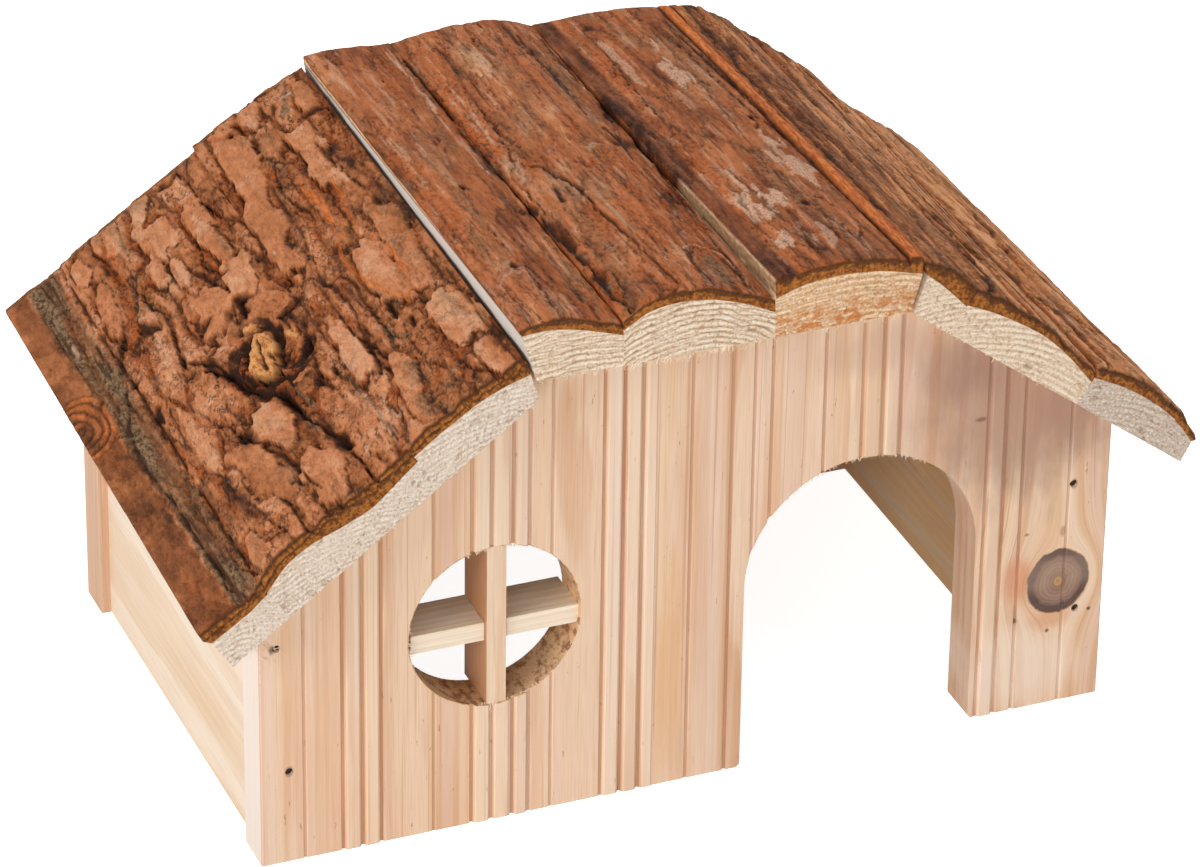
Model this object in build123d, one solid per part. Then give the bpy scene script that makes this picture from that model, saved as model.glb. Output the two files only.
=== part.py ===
"""Bottomless hamster house in pine, roofed with nine bark-faced slabs.

Millimetres. The house stands on z = 0, +X runs to the right seen from the
front, +Y runs to the back, and the origin is on the ground under the middle
of the roof.
"""

import math
import os

from build123d import *

# ---- walls -----------------------------------------------------------------
wall_width = 224.0          # front and back panels, across
wall_depth = 137.0          # over the faces of the front and back panels
board = 12.0                # thickness of all four wall boards
side_inset = 2.5            # side boards stand back from the panel ends
top_height = 128.0          # flat part of the panel tops
flat_left = -45.0           # where the flat top steps down to the left slope

# ---- door and window ---------------------------------------------------------
door_x = 44.8
door_width = 62.4
door_spring = 51.6          # height where the half-round arch starts
door_corner = 1.5           # eased corners at the foot of the door
window_x = -51.8
window_z = 55.7
window_radius = 22.2
bar = 5.0                   # thickness of both window bars
bar_depth = 15.0
upright_x = -51.4           # upright bar, level with the front face
rail_z = 53.7               # level bar
rail_setback = 1.3          # level bar stands back from the front face
rail_gap = 1.0              # its left end is cut short of the hole
lap_play = 0.15             # play in the half lap, all round

# ---- roof --------------------------------------------------------------------
roof_length = 160.0         # slabs, front to back
left_eave = (-122.2, 66.1)  # underside corner at the left eave, x and z
left_pitch = 36.5
right_eave = (125.6, 71.0)
right_pitch = 37.0

# ---- brads -------------------------------------------------------------------
brad_shank = 1.2
brad_head = 2.0
brad_head_height = 0.6
brad_length = 24.0
brad_sink = 0.8             # heads sit this far below the surface

front_y = -wall_depth / 2
back_y = wall_depth / 2
side_face = wall_width / 2 - side_inset

# Narrow grooves left by the planer, x position and depth.
front_grooves = [
    (-100.7, 0.4), (-90.9, 0.6), (-85.8, 0.7), (-81.0, 0.6), (-67.5, 0.3),
    (-57.7, 0.6), (-52.6, 0.5), (-47.1, 0.7), (-42.8, 0.4), (-37.0, 0.3),
    (-23.8, 0.5), (-18.7, 0.7), (-13.8, 0.6), (-1.0, 0.4), (9.4, 0.6),
    (15.2, 0.4), (19.8, 0.6), (33.7, 0.5), (43.7, 0.4), (49.2, 0.5),
    (54.0, 0.6), (78.0, 0.5), (83.0, 0.6), (88.0, 0.6), (101.0, 0.3),
]
# Low flat ribs between grooves: from x, to x, height.
front_ribs = [
    (-90.2, -86.5, 0.3), (-85.1, -81.7, 0.3), (-57.0, -53.2, 0.4),
    (-52.0, -48.0, 0.3), (-46.4, -43.4, 0.4), (-23.1, -19.4, 0.3),
    (-18.0, -14.5, 0.4), (-13.1, -10.2, 0.3), (44.4, 48.5, 0.3),
    (49.9, 53.3, 0.3), (78.7, 82.3, 0.3),
]
back_grooves = [
    (-94.0, 0.5), (-88.5, 0.6), (-71.0, 0.4), (-66.2, 0.6), (-44.0, 0.5),
    (-26.5, 0.3), (-21.0, 0.6), (-4.0, 0.4), (1.5, 0.6), (28.0, 0.5),
    (33.5, 0.6), (52.0, 0.4), (70.5, 0.6), (75.0, 0.5), (97.0, 0.4),
]
back_ribs = [
    (-93.3, -89.2, 0.3), (-70.3, -66.9, 0.3), (-3.3, 0.8, 0.3),
    (28.7, 32.8, 0.3), (71.2, 74.3, 0.3),
]

# Roof slabs. Stations run up the slope from the eave corner (or along x on
# the flat top): distance, wood thickness, thickness with bark. The first and
# last distances of the wood and of the bark may differ, where a side leans.
slabs = {
    "left_eave_slab": dict(
        run="left",
        foot=((0.0, 18.0), (3.0, 22.0)),
        wood=(
            [(0.5, 9.2), (6, 8.9), (12, 8.7), (18, 9.2)],
            [(3.6, 12.6), (10, 12.6), (16, 12.2), (22, 12.0)],
        ),
        bark=(
            [(-0.8, 12.2), (6, 11.8), (12, 11.5), (18, 11.7)],
            [(3.9, 16.2), (10, 16.0), (16, 15.3), (22, 15.0)],
        ),
    ),
    "left_middle_slab": dict(
        run="left",
        foot=((18.0, 65.0), (22.0, 67.0)),
        wood=(
            [(18, 9.6), (26, 11.9), (34, 11.6), (42, 9.6), (50, 8.2), (57, 8.8), (65, 9.6)],
            [(22, 12.2), (29, 12.6), (36, 12.2), (43, 12.0), (50, 11.8), (58, 11.5), (67, 11.2)],
        ),
        bark=(
            [(18, 12.2), (26, 14.3), (34, 14.9), (42, 14.6), (50, 13.9), (57, 13.2), (65, 13.0)],
            [(22, 15.2), (29, 15.8), (36, 15.5), (43, 15.4), (50, 15.2), (58, 14.9), (67, 14.5)],
        ),
    ),
    "left_upper_slab": dict(
        run="left",
        foot=((65.0, 95.8), (67.0, 95.8)),
        wood=(
            [(65, 11.2), (72, 11.3), (79, 11.1), (86, 10.5), (92, 9.2), (98.1, 7.1)],
            [(67, 12.8), (74, 12.8), (80, 12.4), (86, 11.8), (92, 11.0), (99.8, 9.6)],
        ),
        bark=(
            [(65, 13.9), (72, 13.7), (79, 13.3), (86, 12.8), (92, 11.9), (99.3, 9.8)],
            [(67, 16.0), (74, 15.8), (80, 15.4), (86, 14.8), (92, 14.2), (101.2, 12.6)],
        ),
    ),
    "top_left_slab": dict(
        run="top",
        foot=((-45.9, -24.1), (-45.9, -24.1)),
        wood=(
            [(-49.8, 12.9), (-44, 13.2), (-38, 12.4), (-31, 10.5), (-24.1, 8.1)],
            [(-47.0, 8.6), (-42, 8.7), (-37, 8.5), (-31, 8.1), (-24.1, 7.4)],
        ),
        bark=(
            [(-50.4, 14.4), (-44, 15.5), (-38, 15.3), (-31, 13.2), (-24.1, 10.7)],
            [(-47.3, 11.0), (-42, 11.5), (-37, 11.4), (-31, 11.0), (-24.1, 10.4)],
        ),
    ),
    "top_middle_slab": dict(
        run="top",
        foot=((-24.1, 14.7), (-24.1, 14.7)),
        wood=(
            [(-24.1, 9.4), (-18, 12.9), (-11, 14.2), (-4, 13.8), (5, 11.3), (14.7, 6.8)],
            [(-24.1, 7.6), (-18, 8.9), (-11, 9.6), (-4, 9.7), (5, 9.1), (14.7, 6.4)],
        ),
        bark=(
            [(-24.1, 11.7), (-18, 15.3), (-11, 17.0), (-4, 16.7), (5, 14.2), (14.7, 10.2)],
            [(-24.1, 10.4), (-18, 11.4), (-11, 12.3), (-4, 12.6), (5, 12.2), (14.7, 9.0)],
        ),
    ),
    "top_right_slab": dict(
        run="top",
        foot=((14.7, 50.2), (14.7, 50.2)),
        wood=(
            [(14.7, 10.4), (23, 12.9), (32, 13.6), (41, 12.8), (52.8, 9.9)],
            [(14.7, 5.9), (23, 6.5), (32, 6.9), (41, 6.4), (51.7, 4.9)],
        ),
        bark=(
            [(14.7, 14.9), (23, 16.6), (32, 17.0), (41, 16.0), (53.3, 13.4)],
            [(14.7, 8.9), (23, 9.4), (32, 9.7), (41, 9.4), (52.5, 7.8)],
        ),
    ),
    "right_upper_slab": dict(
        run="right",
        foot=((93.4, 81.8), (93.4, 81.8)),
        wood=(
            [(96.6, 9.9), (91, 9.4), (86, 8.6), (81.8, 7.8)],
            [(95.4, 6.0), (91, 8.0), (86, 9.2), (81.8, 9.6)],
        ),
        bark=(
            [(99.2, 13.0), (94, 14.2), (87, 13.8), (81.8, 13.0)],
            [(96.8, 8.6), (92, 11.3), (87, 12.5), (81.8, 12.9)],
        ),
    ),
    "right_middle_slab": dict(
        run="right",
        foot=((81.8, 37.2), (81.8, 37.2)),
        wood=(
            [(81.8, 8.2), (74, 9.8), (66, 10.6), (57, 10.8), (48, 9.4), (37.2, 6.5)],
            [(81.8, 9.6), (74, 9.6), (66, 9.5), (57, 9.4), (48, 8.6), (37.2, 6.7)],
        ),
        bark=(
            [(81.8, 12.8), (74, 14.0), (66, 14.3), (57, 13.4), (48, 11.5), (37.2, 9.0)],
            [(81.8, 12.9), (74, 12.7), (66, 12.5), (57, 12.4), (48, 11.6), (37.2, 9.3)],
        ),
    ),
    "right_eave_slab": dict(
        run="right",
        foot=((37.2, 0.0), (37.2, 0.0)),
        wood=(
            [(37.2, 7.9), (29, 9.3), (20, 9.7), (10, 8.7), (0.9, 5.8)],
            [(37.2, 6.8), (29, 6.6), (20, 6.5), (10, 6.0), (0.9, 4.4)],
        ),
        bark=(
            [(37.2, 10.5), (30, 12.4), (20, 13.2), (10, 11.5), (-0.2, 7.2)],
            [(37.2, 9.6), (30, 9.4), (20, 9.3), (10, 8.7), (0.4, 7.0)],
        ),
    ),
}

# Main cracks between the plates of the bark: width at the surface, depth, and
# points along the crack as distance from the middle of the roof and up the slope.
bark_cracks = {
    "left_middle_slab": [
        (2.4, 1.7, [(-81, 55), (-60, 54), (-45, 51), (-28, 47.5)]),
        (2.0, 1.4, [(-70, 43.5), (-48, 40.5), (-36, 36), (-26, 31)]),
        (2.2, 1.5, [(-12, 41), (2, 37.5), (14, 29), (24, 27)]),
        (2.0, 1.4, [(24, 27), (44, 30.5), (62, 32), (81, 36)]),
        (2.0, 1.4, [(8, 53), (27, 52), (50, 52.6), (81, 54.5)]),
    ],
    "right_middle_slab": [
        (2.0, 1.0, [(-81, 78), (-66, 73), (-40, 70), (0, 71)]),
        (2.0, 1.0, [(-60, 61), (-15, 62.5), (30, 60), (81, 61)]),
        (2.0, 1.0, [(-81, 52), (-40, 50), (20, 48), (81, 50)]),
    ],
}

# Stub of a branch in the left slope, sunk in a pit with a rounded rim.
knot_slab = "left_middle_slab"
knot_place = (-14.0, 52.0)
knot_pit = 8.5              # radius
knot_pit_depth = 1.8
knot_stub = 6.0             # radius
knot_stub_rise = 0.3        # above the bark's surface


def on_run(run, s, t):
    """Return x and z of a point s along a roof run and t above its underside."""
    if run == "top":
        return s, top_height + t
    if run == "left":
        a = math.radians(left_pitch)
        return (
            left_eave[0] + s * math.cos(a) - t * math.sin(a),
            left_eave[1] + s * math.sin(a) + t * math.cos(a),
        )
    a = math.radians(right_pitch)
    return (
        right_eave[0] - s * math.cos(a) + t * math.sin(a),
        right_eave[1] + s * math.sin(a) + t * math.cos(a),
    )


def left_slope_z(x):
    return left_eave[1] + (x - left_eave[0]) * math.tan(math.radians(left_pitch))


def right_slope_z(x):
    return right_eave[1] + (right_eave[0] - x) * math.tan(math.radians(right_pitch))


# ---- helpers -----------------------------------------------------------------
def end_face(run, y, lower, upper):
    """Face at one end of a slab between a lower and an upper line."""
    low = [Vector(x, y, z) for x, z in (on_run(run, s, t) for s, t in lower)]
    up = [Vector(x, y, z) for x, z in (on_run(run, s, t) for s, t in upper)]
    low_edge = Edge.make_line(*low) if len(low) == 2 else Edge.make_spline(low)
    up_edge = Edge.make_spline(up)
    first = Edge.make_line(up[0], low[0])
    last = Edge.make_line(low[-1], up[-1])
    return Face(Wire([low_edge, last, up_edge, first]))


def slab_solid(run, front, back):
    """Loft from the front end face to the back end face."""
    faces = [
        end_face(run, -roof_length / 2, *front),
        end_face(run, roof_length / 2, *back),
    ]
    return loft(faces, ruled=True)


def bark_height(spec, y, s):
    """Height of the bark's surface above the slab's underside."""
    heights = []
    for line in spec["bark"]:
        line = sorted(line)
        after = next((i for i, station in enumerate(line) if station[0] > s), len(line) - 1)
        (s0, t0), (s1, t1) = line[max(after, 1) - 1], line[max(after, 1)]
        heights.append(t0 + (t1 - t0) * (s - s0) / (s1 - s0))
    share = 0.5 + y / roof_length
    return heights[0] * (1 - share) + heights[1] * share


def bark_crack(spec, width, depth, points):
    """Wedge along a crack, to be cut from the bark."""
    faces = []
    for y, s in points:
        t = bark_height(spec, y, s)
        corners = [(s - width, t + depth), (s + width, t + depth), (s, t - depth)]
        line = [Vector(x, y, z) for x, z in (on_run(spec["run"], a, b) for a, b in corners)]
        faces.append(make_face(Polyline(*line, close=True)))
    return loft(faces, ruled=True)


def knot_drum(spec, radius, low, high):
    """Round block about the knot, between two heights from the bark's surface."""
    y, s = knot_place
    surface = bark_height(spec, y, s)
    x, z = on_run(spec["run"], s, surface + low)
    lean = -left_pitch if spec["run"] == "left" else right_pitch
    drum = Cylinder(radius, high - low, align=(Align.CENTER, Align.CENTER, Align.MIN))
    return Pos(x, y, z) * Rot(0, lean, 0) * drum


def planed_section(grooves, ribs, sign):
    """Plan view of a wall board whose outer face is grooved and ribbed."""
    half = wall_width / 2
    marks = [(-half, 0.4), (-half + 0.4, 0.0)]
    for x, depth in grooves:
        marks += [(x - 0.6, 0.0), (x - 0.25, depth), (x + 0.25, depth), (x + 0.6, 0.0)]
    for x0, x1, height in ribs:
        marks += [(x0, 0.0), (x0 + 0.4, -height), (x1 - 0.4, -height), (x1, 0.0)]
    marks += [(half - 0.4, 0.0), (half, 0.4)]
    outer = wall_depth / 2
    line = [(x, sign * (outer - d)) for x, d in sorted(set(marks))]
    line += [(half, sign * (outer - board)), (-half, sign * (outer - board))]
    return make_face(Polyline(*line, close=True))


def wall_outline():
    """Front view of a panel: slopes, flat top and square foot."""
    half = wall_width / 2
    rise = top_height - right_eave[1]
    flat_right = right_eave[0] - rise / math.tan(math.radians(right_pitch))
    points = [
        (-half, 0.0),
        (half, 0.0),
        (half, right_slope_z(half)),
        (flat_right, top_height),
        (flat_left, top_height),
        (flat_left, left_slope_z(flat_left)),
        (-half, left_slope_z(-half)),
    ]
    return Plane.XZ * make_face(Polyline(*points, close=True))


def wall_panel(grooves, ribs, sign):
    board_block = extrude(planed_section(grooves, ribs, sign), 160)
    outline = extrude(wall_outline(), wall_depth, both=True)
    return board_block & outline


def brad(x, y, z, direction):
    """One brad with its head at the given point, driven along a direction."""
    spot = Plane(origin=(x, y, z), z_dir=direction)
    head = Cylinder(brad_head / 2, brad_head_height, align=(Align.CENTER, Align.CENTER, Align.MIN))
    shank = Cylinder(brad_shank / 2, brad_length, align=(Align.CENTER, Align.CENTER, Align.MIN))
    return spot * (head + shank)


def brad_hole(x, y, z, direction):
    """Space one brad takes up, with the sunk hole over its head."""
    above = Plane(origin=(x, y, z), z_dir=tuple(-d for d in direction))
    sunk = above * Cylinder(brad_head / 2, 12, align=(Align.CENTER, Align.CENTER, Align.MIN))
    return brad(x, y, z, direction) + sunk


def drill(solid, brads):
    for spot in brads:
        solid = solid - brad_hole(*spot)
    return solid


# ---- walls -------------------------------------------------------------------
front_panel = wall_panel(front_grooves, front_ribs, -1)
back_panel = wall_panel(back_grooves, back_ribs, 1)

door_r = door_width / 2
doorway = Plane.XZ * (
    Pos(door_x, door_spring / 2) * Rectangle(door_width, door_spring)
    + Pos(door_x, door_spring) * Circle(door_r)
)
front_panel = front_panel - extrude(doorway, wall_depth, both=True)
for side in (-1, 1):
    corner = Pos(door_x + side * (door_r + door_corner / 2), door_corner / 2)
    ease = corner * Rectangle(door_corner, door_corner)
    ease = ease - Pos(door_x + side * (door_r + door_corner), door_corner) * Circle(door_corner)
    front_panel = front_panel - extrude(Plane.XZ * ease, wall_depth, both=True)

window = Plane.XZ * (Pos(window_x, window_z) * Circle(window_radius))
front_panel = front_panel - extrude(window, wall_depth, both=True)


def side_panel(sign, slope):
    """Side board between the two panels, its top bevelled to the slope."""
    x_in = sign * (side_face - board)
    x_out = sign * side_face
    section = Polyline(
        (x_in, 0), (x_out, 0), (x_out, slope(x_out)), (x_in, slope(x_in)), close=True
    )
    length = wall_depth / 2 - board
    return extrude(Plane.XZ * make_face(section), length, both=True)


left_side_panel = side_panel(-1, left_slope_z)
right_side_panel = side_panel(1, right_slope_z)

# ---- window bars ---------------------------------------------------------------
hole = extrude(window, wall_depth, both=True)
upright = Pos(upright_x, front_y + bar_depth / 2, window_z) * Box(
    bar, bar_depth, 2 * window_radius + 2
)
rail_left = window_x - window_radius + rail_gap
rail = Pos(
    (rail_left + window_x + window_radius + 2) / 2,
    front_y + (rail_setback + bar_depth) / 2,
    rail_z,
) * Box(window_x + window_radius + 2 - rail_left, bar_depth - rail_setback, bar)
lap_y = front_y + bar_depth / 2
upright_notch = Pos(upright_x, lap_y + bar_depth / 2, rail_z) * Box(
    bar + 2, bar_depth, bar + 2 * lap_play
)
rail_notch = Pos(upright_x, lap_y - bar_depth / 2, rail_z) * Box(
    bar + 2 * lap_play, bar_depth, bar + 2
)
window_bar_upright = (upright & hole) - upright_notch
window_bar_level = (rail & hole) - rail_notch

# ---- roof --------------------------------------------------------------------
wood = {}
bark = {}
for name, spec in slabs.items():
    run = spec["run"]
    ends = []
    skins = []
    for foot, crown, skin in zip(spec["foot"], spec["wood"], spec["bark"]):
        ends.append(([(foot[0], 0.0), (foot[1], 0.0)], crown))
        skins.append((crown, skin))
    wood[name] = slab_solid(run, *ends)
    bark[name] = slab_solid(run, *skins)
    for width, depth, points in bark_cracks.get(name, []):
        bark[name] = bark[name] - bark_crack(spec, width, depth, points)

spec = slabs[knot_slab]
bark[knot_slab] -= knot_drum(spec, knot_pit, -knot_pit_depth, 4)
bark[knot_slab] += knot_drum(spec, knot_stub, -knot_pit_depth - 0.5, knot_stub_rise)

# ---- brads -------------------------------------------------------------------
wall_brads = {"front": [], "back": []}
for x, z in ((-107.6, 61.2), (-104.7, 25.8), (102.3, 63.3), (104.6, 26.6)):
    wall_brads["front"].append((x, front_y + brad_sink, z, (0, 1, 0)))
for x, z in ((-104.0, 60.0), (-103.2, 22.5), (103.4, 65.5), (103.0, 24.0)):
    wall_brads["back"].append((x, back_y - brad_sink, z, (0, -1, 0)))

left_down = (math.sin(math.radians(left_pitch)), 0, -math.cos(math.radians(left_pitch)))
right_down = (-math.sin(math.radians(right_pitch)), 0, -math.cos(math.radians(right_pitch)))
down = {"left": left_down, "top": (0, 0, -1), "right": right_down}
# One brad per slab into each panel: distance along the run, height of the
# head above the underside at the front and at the back.
roof_brad_spots = {
    "left_eave_slab": (11.0, 7.0, 9.5),
    "left_middle_slab": (38.0, 8.6, 10.0),
    "left_upper_slab": (80.0, 9.0, 10.0),
    "top_left_slab": (-35.0, 9.5, 6.5),
    "top_middle_slab": (-5.0, 11.5, 7.5),
    "top_right_slab": (33.0, 11.5, 5.5),
    "right_upper_slab": (88.0, 7.4, 7.2),
    "right_middle_slab": (58.0, 8.6, 7.4),
    "right_eave_slab": (20.0, 7.4, 5.0),
}
roof_brads = {"left": [], "top": [], "right": []}
slab_brads = {}
for name, (s, head_front, head_back) in roof_brad_spots.items():
    run = slabs[name]["run"]
    spots = []
    for y, head in ((front_y + board / 2, head_front), (back_y - board / 2, head_back)):
        x, z = on_run(run, s, head)
        spots.append((x, y, z, down[run]))
    slab_brads[name] = spots
    roof_brads[run] += spots

for name, spots in slab_brads.items():
    wood[name] = drill(wood[name], spots)
    bark[name] = drill(bark[name], spots)

all_roof = roof_brads["left"] + roof_brads["top"] + roof_brads["right"]
for spot in all_roof:
    shank = brad(*spot)
    front_panel = front_panel - shank
    back_panel = back_panel - shank
front_panel = drill(front_panel, wall_brads["front"])
back_panel = drill(back_panel, wall_brads["back"])
for spot in wall_brads["front"] + wall_brads["back"]:
    left_side_panel = left_side_panel - brad(*spot)
    right_side_panel = right_side_panel - brad(*spot)

# ---- one STEP file per node --------------------------------------------------
nodes = {
    "front_panel": front_panel,
    "back_panel": back_panel,
    "left_side_panel": left_side_panel,
    "right_side_panel": right_side_panel,
    "window_bar_upright": window_bar_upright,
    "window_bar_level": window_bar_level,
    "front_panel_brads": Compound([brad(*s) for s in wall_brads["front"]]),
    "back_panel_brads": Compound([brad(*s) for s in wall_brads["back"]]),
}
for run, spots in roof_brads.items():
    nodes[f"{run}_roof_brads"] = Compound([brad(*s) for s in spots])
for name in slabs:
    nodes[name] = wood[name]
    nodes[name.replace("slab", "bark")] = bark[name]

os.makedirs("parts", exist_ok=True)
for name, shape in nodes.items():
    export_step(shape, f"parts/{name}.step")
    box = shape.bounding_box()
    solids = len(shape.solids())
    print(f"{name:22s} solids {solids:2d}  volume {shape.volume:10.1f}", box.min, box.max)
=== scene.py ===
# %% [markdown]
# # A bark-roofed house for a hamster
# The house is a bottomless box of pine boards with an arched doorway, a round
# window with two crossed bars, and a roof of nine slabs that still wear their
# bark. The solid parts come from a CAD model that is loaded first. This script
# gives each part its surface: planed pine, sawn ends and rough bark.
# Sizes here are written in millimetres, because the parts are small, and they
# are turned into Blender's metres where a mesh is made.

# %% Load the solid parts
import math

import bpy
import numpy as np
from mathutils import Matrix, Vector


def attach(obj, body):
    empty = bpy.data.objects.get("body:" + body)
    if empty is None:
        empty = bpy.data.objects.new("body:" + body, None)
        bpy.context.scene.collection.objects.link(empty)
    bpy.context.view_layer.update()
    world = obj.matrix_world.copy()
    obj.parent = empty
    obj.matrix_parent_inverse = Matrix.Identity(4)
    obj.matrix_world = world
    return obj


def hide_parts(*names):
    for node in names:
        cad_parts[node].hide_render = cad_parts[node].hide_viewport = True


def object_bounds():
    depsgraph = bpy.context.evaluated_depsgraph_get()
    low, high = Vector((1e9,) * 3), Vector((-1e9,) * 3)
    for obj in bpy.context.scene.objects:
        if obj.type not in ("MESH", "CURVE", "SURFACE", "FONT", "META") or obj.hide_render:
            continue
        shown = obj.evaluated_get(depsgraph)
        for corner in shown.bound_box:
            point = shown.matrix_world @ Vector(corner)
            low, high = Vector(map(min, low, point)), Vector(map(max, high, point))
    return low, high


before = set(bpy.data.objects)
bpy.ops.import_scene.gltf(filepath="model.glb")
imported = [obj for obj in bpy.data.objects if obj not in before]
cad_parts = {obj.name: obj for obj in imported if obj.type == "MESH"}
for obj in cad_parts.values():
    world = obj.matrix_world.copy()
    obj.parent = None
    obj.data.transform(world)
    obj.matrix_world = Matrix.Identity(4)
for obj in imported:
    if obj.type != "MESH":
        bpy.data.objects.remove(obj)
solid_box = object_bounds()
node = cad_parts
MM = 0.001
HALF = 80.0  # half the length of a roof slab, front to back
FRONT = 68.5  # from the middle to the face of the front panel
WALL_TOP = 128.0  # height of the walls under the flat top
WINDOW = (-51.8, 55.7, 22.2)  # middle x, middle z, radius
DOOR_ARCH = (44.8, 51.6, 31.0)
print(len(node), "parts, box", [tuple(round(v, 4) for v in corner) for corner in solid_box])

# %% [markdown]
# ## Camera
# The camera stands in front of the house, a little to the left, and looks down
# at it with a long lens, so the roof's parallel edges stay nearly parallel. Its
# turn is built from three directions, right, up and back, because that is
# exactly what the columns of a camera's matrix are.

# %% Camera
heading, tilt, lean = (math.radians(a) for a in (22.24, 29.93, 0.80))
ahead = Vector((math.sin(heading) * math.cos(tilt), math.cos(heading) * math.cos(tilt), -math.sin(tilt)))
level = Vector((math.cos(heading), -math.sin(heading), 0.0))
over = level.cross(ahead)
right = math.cos(lean) * level + math.sin(lean) * over
up = -math.sin(lean) * level + math.cos(lean) * over

lens = bpy.data.cameras.new("camera")
lens.sensor_width, lens.lens, lens.clip_start = 36.0, 189.75, 0.05
lens.shift_x, lens.shift_y = 0.0071, -0.0102
camera = bpy.data.objects.new("camera", lens)
bpy.context.scene.collection.objects.link(camera)
turn = Matrix((right, up, -ahead)).transposed()
camera.matrix_world = Matrix.Translation((-0.5216, -1.2771, 0.8592)) @ turn.to_4x4()
bpy.context.scene.camera = camera
print("camera", tuple(round(v, 3) for v in camera.location))

# %% [markdown]
# ## A short way to write materials
# Every finish below is a node material. Writing nodes and links by hand takes
# many lines, so two small classes do it. A finish makes a node in one call, and
# joins it to others: a value that comes from another node is linked, anything
# else is set. Such a value is a wire, and wires can be added, subtracted,
# multiplied and divided like numbers. Each sign then makes one more node.

# %% Colours
def paint(r, g, b):
    """Screen colour, 0 to 255, as the linear colour that nodes expect."""
    def linear(c):
        c /= 255
        return c / 12.92 if c <= 0.04045 else ((c + 0.055) / 1.055) ** 2.4
    return (linear(r), linear(g), linear(b), 1.0)


print("white is", paint(255, 255, 255)[:3])


# %% Wires
class Wire:
    """What comes out of a node."""

    def __init__(self, finish, socket):
        self.finish, self.socket = finish, socket

    def __add__(self, other):
        return self.finish.math("ADD", self, other)

    def __sub__(self, other):
        return self.finish.math("SUBTRACT", self, other)

    def __mul__(self, other):
        return self.finish.math("MULTIPLY", self, other)

    def __truediv__(self, other):
        return self.finish.math("DIVIDE", self, other)

    def __abs__(self):
        return self.finish.math("ABSOLUTE", self)


print("signs that wires know:", "+ - * / abs")


# %% Finishes
class Finish:
    """A material that is built one node at a time."""

    def __init__(self, name):
        self.material = bpy.data.materials.new(name)
        self.material.use_nodes = True
        self.tree = self.material.node_tree
        self.tree.nodes.clear()
        self.place = self.wire("TexCoord", "Object")

    def node(self, kind, sockets=None, **settings):
        made = self.tree.nodes.new("ShaderNode" + kind)
        for key, value in settings.items():
            setattr(made, key, value)
        for key, value in (sockets or {}).items():
            if isinstance(value, Wire):
                self.tree.links.new(value.socket, made.inputs[key])
            else:
                made.inputs[key].default_value = value
        return made

    def wire(self, kind, pick, sockets=None, **settings):
        return Wire(self, self.node(kind, sockets, **settings).outputs[pick])

    def math(self, operation, a, b=0.0):
        return self.wire("Math", 0, {0: a, 1: b}, operation=operation)

    def length(self, a, b):
        return self.math("SQRT", a * a + b * b)

    def band(self, value, low, high, to_low=0.0, to_high=1.0):
        """Follow value from low to high with soft ends."""
        sockets = {0: value, 1: low, 2: high, 3: to_low, 4: to_high}
        return self.wire("MapRange", 0, sockets, interpolation_type="SMOOTHSTEP")

    def mix(self, factor, a, b):
        return self.wire("Mix", 2, {0: factor, 6: a, 7: b}, data_type="RGBA")

    def over(self, colour, tint, value, low, high, most=1.0):
        """Lay a tint over a colour, none where value is at low, most of it at high."""
        return self.mix(self.band(value, low, high, 0.0, most), colour, tint)

    def shades(self, value, stops):
        """A row of colours, picked by a value from 0 to 1."""
        made = self.node("ValToRGB", {0: value})
        row = made.color_ramp.elements
        while len(row) < len(stops):
            row.new(0.5)
        for element, (at, *colour) in zip(row, stops):
            element.position, element.color = at, paint(*colour)
        return Wire(self, made.outputs[0])

    def noise(self, scale, detail=3.0, rough=0.55, shift=(0, 0, 0), at=None):
        spot = self.wire("Mapping", 0, {"Vector": at or self.place, "Scale": scale, "Location": shift})
        return self.wire("TexNoise", 0, {"Vector": spot, "Scale": 1.0, "Detail": detail, "Roughness": rough})

    def part(self, vector):
        """The three numbers of a vector."""
        return [Wire(self, socket) for socket in self.node("SeparateXYZ", {0: vector}).outputs]

    def normal(self):
        return self.part(self.wire("NewGeometry", "Normal"))

    def grown(self, name):
        """A number that was stored on the mesh, point by point."""
        return self.wire("Attribute", "Fac", attribute_name=name)

    def end(self, shader):
        self.node("OutputMaterial", {"Surface": Wire(self, shader.outputs[0])})
        return self.material

    def close(self, colour, rough, height=None, depth=0.2, shine=0.35):
        sockets = {"Base Color": colour, "Roughness": rough, "Specular IOR Level": shine}
        if height is not None:
            relief = {"Height": height, "Strength": 1.0, "Distance": depth * MM}
            sockets["Normal"] = self.wire("Bump", 0, relief)
        return self.end(self.node("BsdfPrincipled", sockets))


print("steps of a finish:", [step for step in vars(Finish) if step[0] != "_"])

# %% [markdown]
# ## Floor and light
# The house stands on a white table in soft daylight. Wide lamps give soft
# shadows, and the plain grey sky fills them. The floor is ordinary white paint,
# so it takes the shadow of the house. What the eye sees of it gets a little
# light of its own, which brings the lit part to pure white without lighting the
# house any more.

# %% Floor
def white_ground():
    finish = Finish("white_ground")
    rays = finish.node("LightPath").outputs
    eye = Wire(finish, rays["Is Camera Ray"])
    mirror = Wire(finish, rays["Is Glossy Ray"])
    glass = Wire(finish, rays["Is Transmission Ray"])
    seen = finish.math("MAXIMUM", eye, finish.math("MAXIMUM", mirror, glass))
    chalk = finish.wire("BsdfDiffuse", 0, {"Color": (0.8, 0.8, 0.8, 1)})
    glow = finish.wire("Emission", 0, {"Color": (1, 1, 1, 1), "Strength": seen * 0.9})
    return finish.end(finish.node("AddShader", {0: chalk, 1: glow}))


bpy.ops.mesh.primitive_plane_add(size=12)
ground = bpy.context.object
ground.name = "ground"
ground.data.materials.append(white_ground())

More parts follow.
